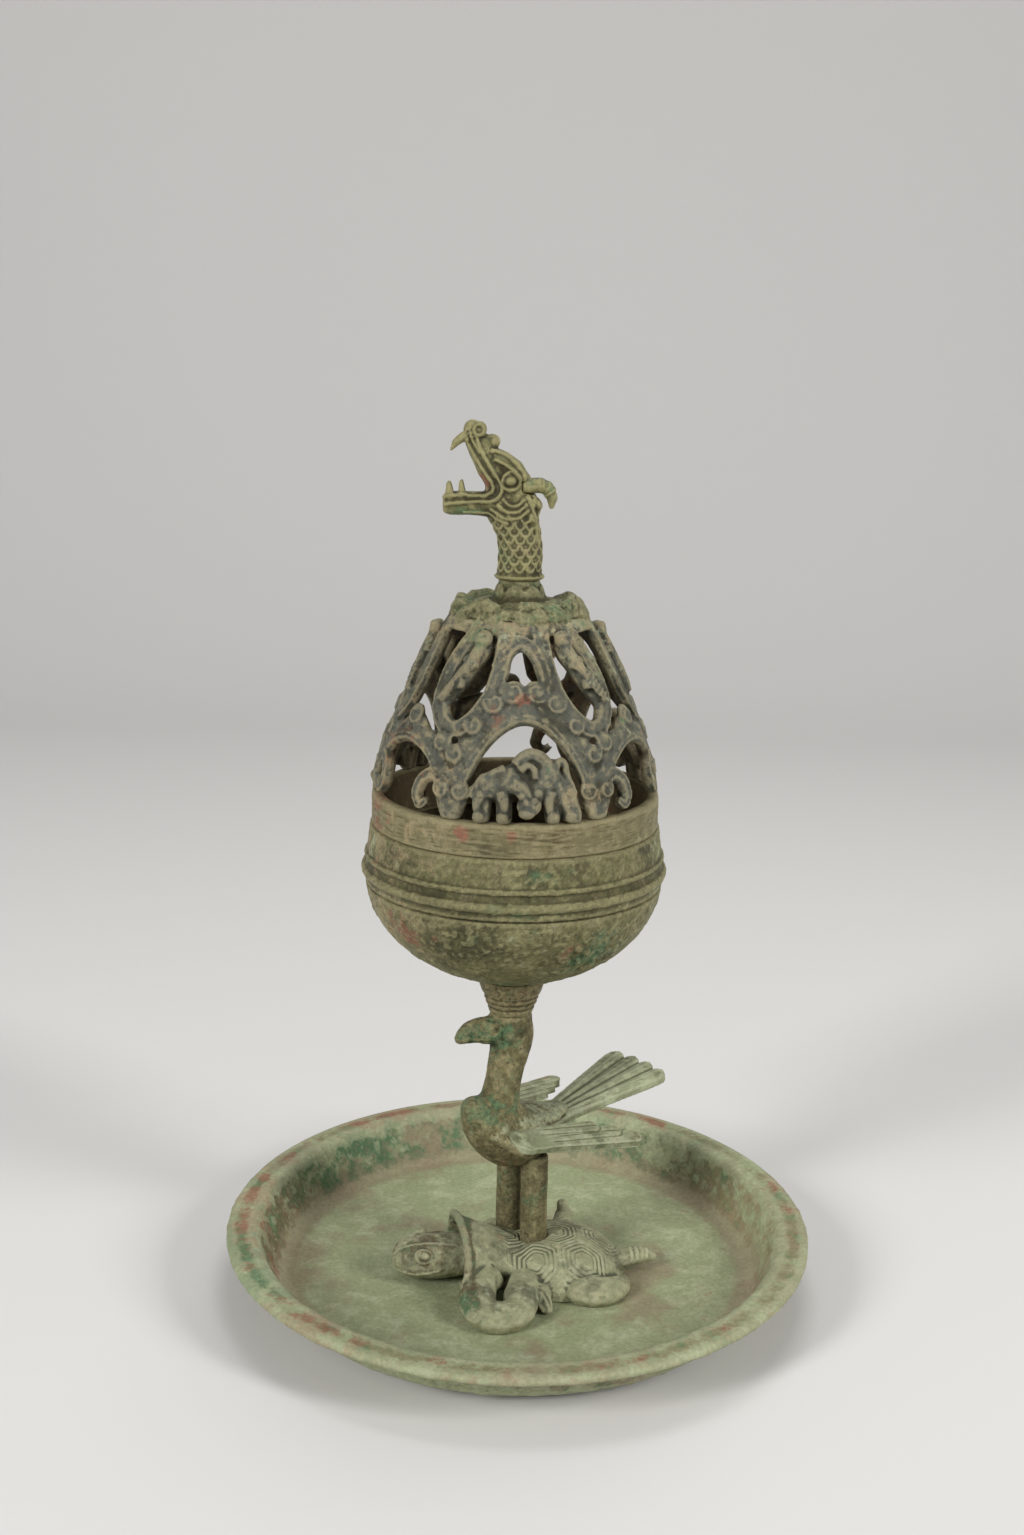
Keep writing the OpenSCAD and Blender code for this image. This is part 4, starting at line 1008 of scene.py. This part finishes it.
def horn_relief(side):
    def relief_of(_):
        relief = Relief()
        for x, z, lean in HORN_RINGS:
            way = (math.cos(math.radians(lean)), 0, -math.sin(math.radians(lean)))
            relief.line(from_dragon(ring((x, side * 3.4, z), 2.0, way, 16)), 0.32)
        return relief
    return relief_of


for side, label in SIDES:
    node = f"dragon_{label}_horn"
    horn = cast([node], 0.26, 6, 0.12, horn_relief(side))
    crusts(horn, green=0.35 + 0.25 * cloudy(points_of(horn), 4, 84))
    piece(f"horn_{label}", horn, (5, 0.08), "finial", "dragon_patina", "dragon", [node])

# Bird: long neck with a mouth line, shoulders and thighs
SHOULDER = [(-12, 5.4, 1.2), (-8, 6.8, 1.6), (-2, 7, 1.6), (4, 6.4, 1.6), (9, 5, 1.5), (13, 3.4, 1.2)]
THIGH = [(-13, 5, 1.5), (-13, 9, 1.4), (-11.6, 13, 0.6), (-8, 16, -0.6)]
MOUTH = [(-7, 4.8, -1.6), (-11, 4, -1), (-15, 3.2, -0.6), (-18.4, 1.6, -1.6)]
NECK_H, BEAK_TURN = 54, 20


def bird_relief(tree):
    relief = Relief()
    for side in (-1, 1):
        shoulder, thigh = flow(SHOULDER), flow(THIGH)
        swell = 1.2 + 1.5 * np.sin(np.linspace(0.2, math.pi - 0.2, len(shoulder)))
        for rows, girth in ((shoulder, swell), (thigh, np.linspace(2.8, 1.6, len(thigh)))):
            relief.line(from_bird(from_wing[side](rows) * (1, side, 1)), girth)
    for side in (-1, 1):
        rows = flow(np.array(MOUTH) * (1, side, 1)) @ turn("Z", BEAK_TURN).T
        relief.line(on_skin(tree, rows + (STEM_X, 0, BELLY_Z + NECK_H * 0.87), 0), 0.4)
    return relief


def bird_head(co):
    return near(co[:, 2] - BELLY_Z - 47, 7)


def bird_crusts(mesh):
    co = points_of(mesh)
    x, y = to_bird(co)[:, :2].T
    z = co[:, 2] - BELLY_Z
    head = bird_head(co) * smoothstep(2, -6, x)
    breast = near(x + 8, 6) * near(z - 4, 5) * (y < 3)
    back = smoothstep(-8, 4, x) * smoothstep(5, 12, z) * smoothstep(24, 18, z)
    shoulder = near(x + 9, 8) * near(z - 17, 6) * smoothstep(3, 7, np.abs(y))
    crusts(mesh,
           green=0.26 + 0.5 * head + 0.3 * near(z - 26, 5) + 0.3 * near(x + 18, 5) * near(z - 24, 5),
           rust=0.55 * breast + 0.15 * smoothstep(0.2, 0.8, cloudy(co, 8, 89)),
           earth=0.3 + 0.3 * cloudy(co, 6, 93) - 0.3 * breast,
           pale=0.75 * back + 0.6 * shoulder,
           brown=0.16 + 0.5 * head * smoothstep(-0.3, 0.4, cloudy(co, 4, 87)))


bird = cast(["bird_body"], 0.4, 14, 0.15, bird_relief, 5)
softened(bird, 70, 0, lambda co: near(co[:, 2] - BELLY_Z - 23, 8))
weathered(bird, 0.16, 3.2, 0.14, 85)
weathered(bird, 0.45, 2.4, 0.3, 86, lambda co: bird_head(co) * smoothstep(-3, -9, to_bird(co)[:, 0]))
bird_crusts(bird)
piece("bird_trunk", bird, (5, 0.1), "base", "bird_patina", "bird", ["bird_body"])


def between_seats(co):
    return (co[:, 2] > FLOOR_Z + 8) * (co[:, 2] < BELLY_Z)


for side, label in SIDES:
    node = f"bird_{label}_leg"
    leg = cast([node], 0.45, 4, 0.05)
    weathered(leg, 0.18, 4.5, 0.16, 97 + len(label), between_seats)
    co = points_of(leg)
    # inner: the sides of the legs that face each other; the brown there is painted shade between the legs,
    # and the green keeps to the outer sides
    inner = smoothstep(side, -1.5 * side, to_bird(co)[:, 1])
    crusts(leg, earth=0.3 + 0.3 * cloudy(co, 8, 99), brown=0.6 * inner + 0.12,
           green=0.28 * (1 - inner) + 0.2 * near(co[:, 2] - BELLY_Z + 10, 8))
    piece(f"leg_{label}", leg, (5, 0.1), "base", "leg_patina", "leg", [node])

# Wings: stepped feathers, each with its start, end and width
FEATHERS = [((-4, 15), (36, 22), 6.6), ((-2, 12.8), (29.9, 17.4), 6.4), ((2, 11), (23, 13.4), 6.4)]


def feather_steps(q):
    """Height of the stepped feathers over a wing, from its own flat places."""
    height, groove = np.zeros(len(q)), np.zeros(len(q))
    for k, (start, end, width) in enumerate(FEATHERS):
        start, end = np.array(start, float), np.array(end, float)
        way = (end - start) / np.linalg.norm(end - start)
        along = (q[:, :2] - start) @ way
        across = (q[:, :2] - start) @ np.array([-way[1], way[0]])
        beyond = np.maximum(along - np.linalg.norm(end - start), 0)
        gap = width / 2 - np.hypot(across, beyond)
        quill = 0.25 * near(across, 0.5) * (along > 4)
        here = (0.7 - 0.16 * k) * smoothstep(-0.3, 0.5, gap) * smoothstep(2, 9, along)
        here = here + 0.2 * np.clip(gap / width * 2, 0, 1)
        height = np.where(here > height, here + quill * 0.5, height)
        groove = np.maximum(groove, near(gap, 0.4) * smoothstep(3, 8, along))
    return height - 0.7 * groove


for side, label in SIDES:
    node = f"bird_{label}_wing"
    wing = cast([node], 0.36, 5, 0.0)
    co = points_of(wing)
    q = to_wing[side](to_bird(co) * (1, side, 1))
    push = 0.55 * (feather_steps(q) - 0.6) + 0.5 * near(np.hypot(q[:, 0] + 5.4, q[:, 1] - 11.9), 4)
    set_points(wing, co + push[:, None] * normals_of(wing))
    weathered(wing, 0.1, 3, 0.08, 101 + side)
    co = points_of(wing)
    tip = smoothstep(8, 26, q[:, 0])
    crusts(wing, green=0.2 + 0.3 * cloudy(co, 10, 103), earth=0.2 + 0.25 * cloudy(co, 8, 105),
           pale=0.4 + 0.3 * cloudy(co, 12, 104), brown=0.35 * tip + 0.1,
           rust=0.35 * smoothstep(0.1, 0.6, cloudy(co, 9, 106)) + 0.2 * tip)
    piece(f"wing_{label}", wing, (5, 0.1), "base", "feather_patina", "feather", [node])

# Tail: four feathers with rounded backs, each a few degrees wide from a point in front of the tail
TAIL_POINT, TAIL_FEATHER = 14, 7
tail = cast(["bird_tail"], 0.38, 5, 0.0)
co = points_of(tail)
q = to_tail(to_bird(co))
along = q[:, 0]
fan = np.degrees(np.arctan2(q[:, 1], along + TAIL_POINT)) / TAIL_FEATHER
feather = np.hypot(along + TAIL_POINT, q[:, 1]) * math.radians(TAIL_FEATHER)
seam = np.abs(fan - np.clip(np.round(fan), -1, 1)) * feather
back = np.abs(fan - (np.clip(np.floor(fan), -2, 1) + 0.5))
push = 0.35 * (1 - (2 * np.clip(back, 0, 0.5)) ** 2) * smoothstep(0, 8, along)
push += 0.2 * near(back * feather, 0.5) * smoothstep(6, 12, along)
push -= 0.4 * near(seam, 0.7) * smoothstep(-2, 8, along)
set_points(tail, co + push[:, None] * normals_of(tail))
weathered(tail, 0.1, 3.5, 0.08, 107)
co = points_of(tail)
crusts(tail, rust=0.35 * smoothstep(26, 42, along) * smoothstep(-0.2, 0.6, cloudy(co, 7, 109)),
       green=0.15 + 0.3 * cloudy(co, 9, 111), pale=0.45 + 0.25 * cloudy(co, 12, 112),
       brown=0.5 * smoothstep(-1.5, 0.3, -fan) * near(q[:, 1] + 6, 4) * smoothstep(4, 14, along))
piece("tail_fan", tail, (5, 0.1), "base", "feather_patina", "feather", ["bird_tail"])

# Tortoise: scutes with nested lines, a hooded collar, blunt feet
SCUTE = 9.6


def scute_lines(p):
    """Depth of the cut lines on the shell from places in its own frame: nested six-sided plates."""
    best, second = np.full(len(p), -1e9), np.full(len(p), -1e9)
    for row in range(-3, 4):
        for col in range(-3, 4):
            x, y = SCUTE * 1.732 * (col + 0.5 * (row % 2)), SCUTE * 1.5 * row + 1.0
            d = -np.hypot(p[:, 0] - x, p[:, 1] - y)
            second = np.maximum(second, np.minimum(best, d))
            best = np.maximum(best, d)
    border = (best - second) / 2
    nested = 0.5 - 0.5 * np.cos(2 * math.pi * border / 1.5)
    plate = smoothstep(0.0, 0.5, border)
    return np.where(border < 5.4, nested, 0.35) * plate + 0.8 * (1 - plate)


def tortoise_relief(tree):
    relief = Relief()
    skin = lambda rows: on_skin(tree, from_shell(rows), 0)
    a = np.radians(np.linspace(-8, 188, 40))
    hood_rim = np.stack([np.full(40, -34.2), -2 + 17.4 * np.cos(a), 9.4 + 10.8 * np.sin(a)], 1)
    relief.line(skin(hood_rim), 1.5)
    for x in (26, 28, 30, 32):
        half = np.radians(np.linspace(10, 170, 9))
        relief.line(skin([(x, -2.4 + 3.4 * math.cos(t), 5 + 2.6 * math.sin(t)) for t in half]), 0.5)
    for y in (-1.6, 0, 1.6):
        relief.line(skin(flow([(-8 + y, -24, 4), (-6.6 + y, -27, 3), (-5.6 + y, -30, 1.4)])), 0.6)
    return relief


tortoise = cast(["tortoise_body"], 0.38, 14, 0.15, tortoise_relief)
co = points_of(tortoise)
p = to_shell(co)
x, y, z = p.T
n = normals_of(tortoise)
on_shell = smoothstep(0.35, 0.7, n[:, 2]) * smoothstep(1, 0.9, np.hypot(x / 23.5, y / 22.5))
on_shell *= smoothstep(-19, -16, x)
cut = 0.36 * scute_lines(p) * on_shell * (0.35 + 0.65 * smoothstep(-0.35, 0.25, cloudy(co, 11, 113)))
slit = 0.8 * near(x + 21.4, 0.9) * smoothstep(-34, -30, y) * smoothstep(-17, -22, y) * (z > 1)
set_points(tortoise, co - (cut + slit)[:, None] * n)
weathered(tortoise, 0.14, 4, 0.1, 115)
co = points_of(tortoise)
hood_front = smoothstep(-27, -30, x) * smoothstep(2, 5, z)
crusts(tortoise, green=0.2 + 0.35 * cloudy(co, 10, 117) + 0.3 * hood_front,
       rust=0.3 * smoothstep(0.1, 0.7, cloudy(co, 9, 119)), earth=0.3 + 0.25 * cloudy(co, 12, 121),
       pale=0.3 + 0.3 * cloudy(co, 14, 122) - 0.4 * hood_front,
       brown=0.14 + 0.3 * cloudy(co, 8, 124) + 0.6 * hood_front)
piece("tortoise_shell", tortoise, (4, 0.1), "base", "tortoise_patina", "tortoise", ["tortoise_body"])

FACE_SEAT = (-25.85, -2, 8)


def tortoise_face(tree):
    relief = Relief()
    skin = lambda rows, lift=0.0: on_skin(tree, from_shell(np.asarray(rows, float) + FACE_SEAT), lift)
    for s in (-1, 1):
        relief.line(skin(ring((-19.6, s * 8, 4), 2.4, (-0.3, s, 0.7)), 0.05), 0.45)
        relief.stud(skin([(-19.6, s * 8, 4)])[0], (1.5, 1.5, 1.3))
        for rows, girth in (([(-29.6, 1, -2), (-26, 6, -2.4), (-20, 9, -2), (-14, 9.6, -0.6)], 0.55),
                            ([(-29, 1.2, 1), (-24, 3.4, 5.4), (-16, 4.4, 7), (-8, 4.6, 6.6)], 0.5)):
            relief.line(skin(flow([(x, s * y, z) for x, y, z in rows])), girth)
    return relief


face = cast(["tortoise_head"], 0.36, 10, 0.12, tortoise_face)
weathered(face, 0.14, 3, 0.1, 125)
co = points_of(face)
# The face's heavy brown is in part crust and in part painted shadow of the bowl above
crusts(face, green=0.2 + 0.3 * cloudy(co, 8, 127), earth=0.12 + 0.25 * cloudy(co, 9, 129),
       brown=0.52 + 0.2 * cloudy(co, 7, 130))
piece("tortoise_face", face, (5, 0.1), "base", "tortoise_patina", "tortoise", ["tortoise_head"])

# Rivets: plain hammered heads, out of sight
for node, label, slot, finish in (("leg_rivets", "leg_tenon_heads", "leg_patina", "leg"),
                                  ("bowl_rivet", "bowl_pin", "bowl_patina", "bowl")):
    heads = cast([node], 0.3, 2, 0)
    piece(label, heads, (4, 0.1), "base", slot, finish, [node])

# Floor, light and camera
FLOOR_REACH, BEND_START, BEND_R, WALL_TOP = 14, 0.9, 0.7, 3
bend = [(BEND_START + BEND_R * math.sin(t), BEND_R - BEND_R * math.cos(t)) for t in arc(0, 91, 5)]
sweep = [(-FLOOR_REACH, 0)] + bend + [(BEND_START + BEND_R, WALL_TOP)]
corners = [(x, y, z) for y, z in sweep for x in (-FLOOR_REACH, FLOOR_REACH)]
strips = [(2 * i, 2 * i + 1, 2 * i + 3, 2 * i + 2) for i in range(len(sweep) - 1)]
floor_mesh = bpy.data.meshes.new("floor")
floor_mesh.from_pydata(corners, [], strips)
for polygon in floor_mesh.polygons:
    polygon.use_smooth = True
floor = bpy.data.objects.new("floor", floor_mesh)
scene.collection.objects.link(floor)
floor_finish = bpy.data.materials.new("pale floor")
floor_finish.use_nodes = True
floor_shader = floor_finish.node_tree.nodes["Principled BSDF"]
floor_shader.inputs["Base Color"].default_value = (0.62, 0.61, 0.59, 1)
floor_shader.inputs["Roughness"].default_value = 0.7
floor_mesh.materials.append(floor_finish)

world = bpy.data.worlds.new("studio")
scene.world = world
world.use_nodes = True
sky = world.node_tree.nodes["Background"].inputs
sky["Color"].default_value = (0.8, 0.81, 0.83, 1)
sky["Strength"].default_value = 0.38


def softbox(name, place, aim, size, power):
    light = bpy.data.lights.new(name, "AREA")
    light.shape = "RECTANGLE"
    light.size, light.size_y = size
    light.energy = power
    lamp = bpy.data.objects.new(name, light)
    scene.collection.objects.link(lamp)
    lamp.location = place
    lamp.rotation_euler = (Vector(aim) - Vector(place)).to_track_quat("-Z", "Y").to_euler()


softbox("key", (-1.3, -1.15, 0.95), (0, 0, 0.15), (0.4, 0.7), 28)
softbox("right", (1.4, -0.8, 0.9), (0, 0, 0.15), (0.34, 0.7), 23)
softbox("top", (0.1, 0.3, 1.1), (0, 0, 0.1), (0.5, 0.5), 3.5)

# The camera that fits the photograph: focal length and height of its frame in pixels, place, dip and roll
FOCAL, FRAME_H = 1727, 1535
VIEW_PLACE, VIEW_DIP, VIEW_ROLL = (-0.0048, -0.5483, 0.3077), 13.15, 1.07
camera = bpy.data.cameras.new("photo view")
camera.sensor_width = 36
camera.lens = FOCAL / FRAME_H * camera.sensor_width
viewer = bpy.data.objects.new("photo view", camera)
scene.collection.objects.link(viewer)
viewer.matrix_world = (Matrix.Translation(VIEW_PLACE)
                       @ Matrix.Rotation(math.pi / 2 - math.radians(VIEW_DIP), 4, "X")
                       @ Matrix.Rotation(math.radians(VIEW_ROLL), 4, "Z"))
scene.camera = viewer
scene.view_settings.view_transform = "Standard"
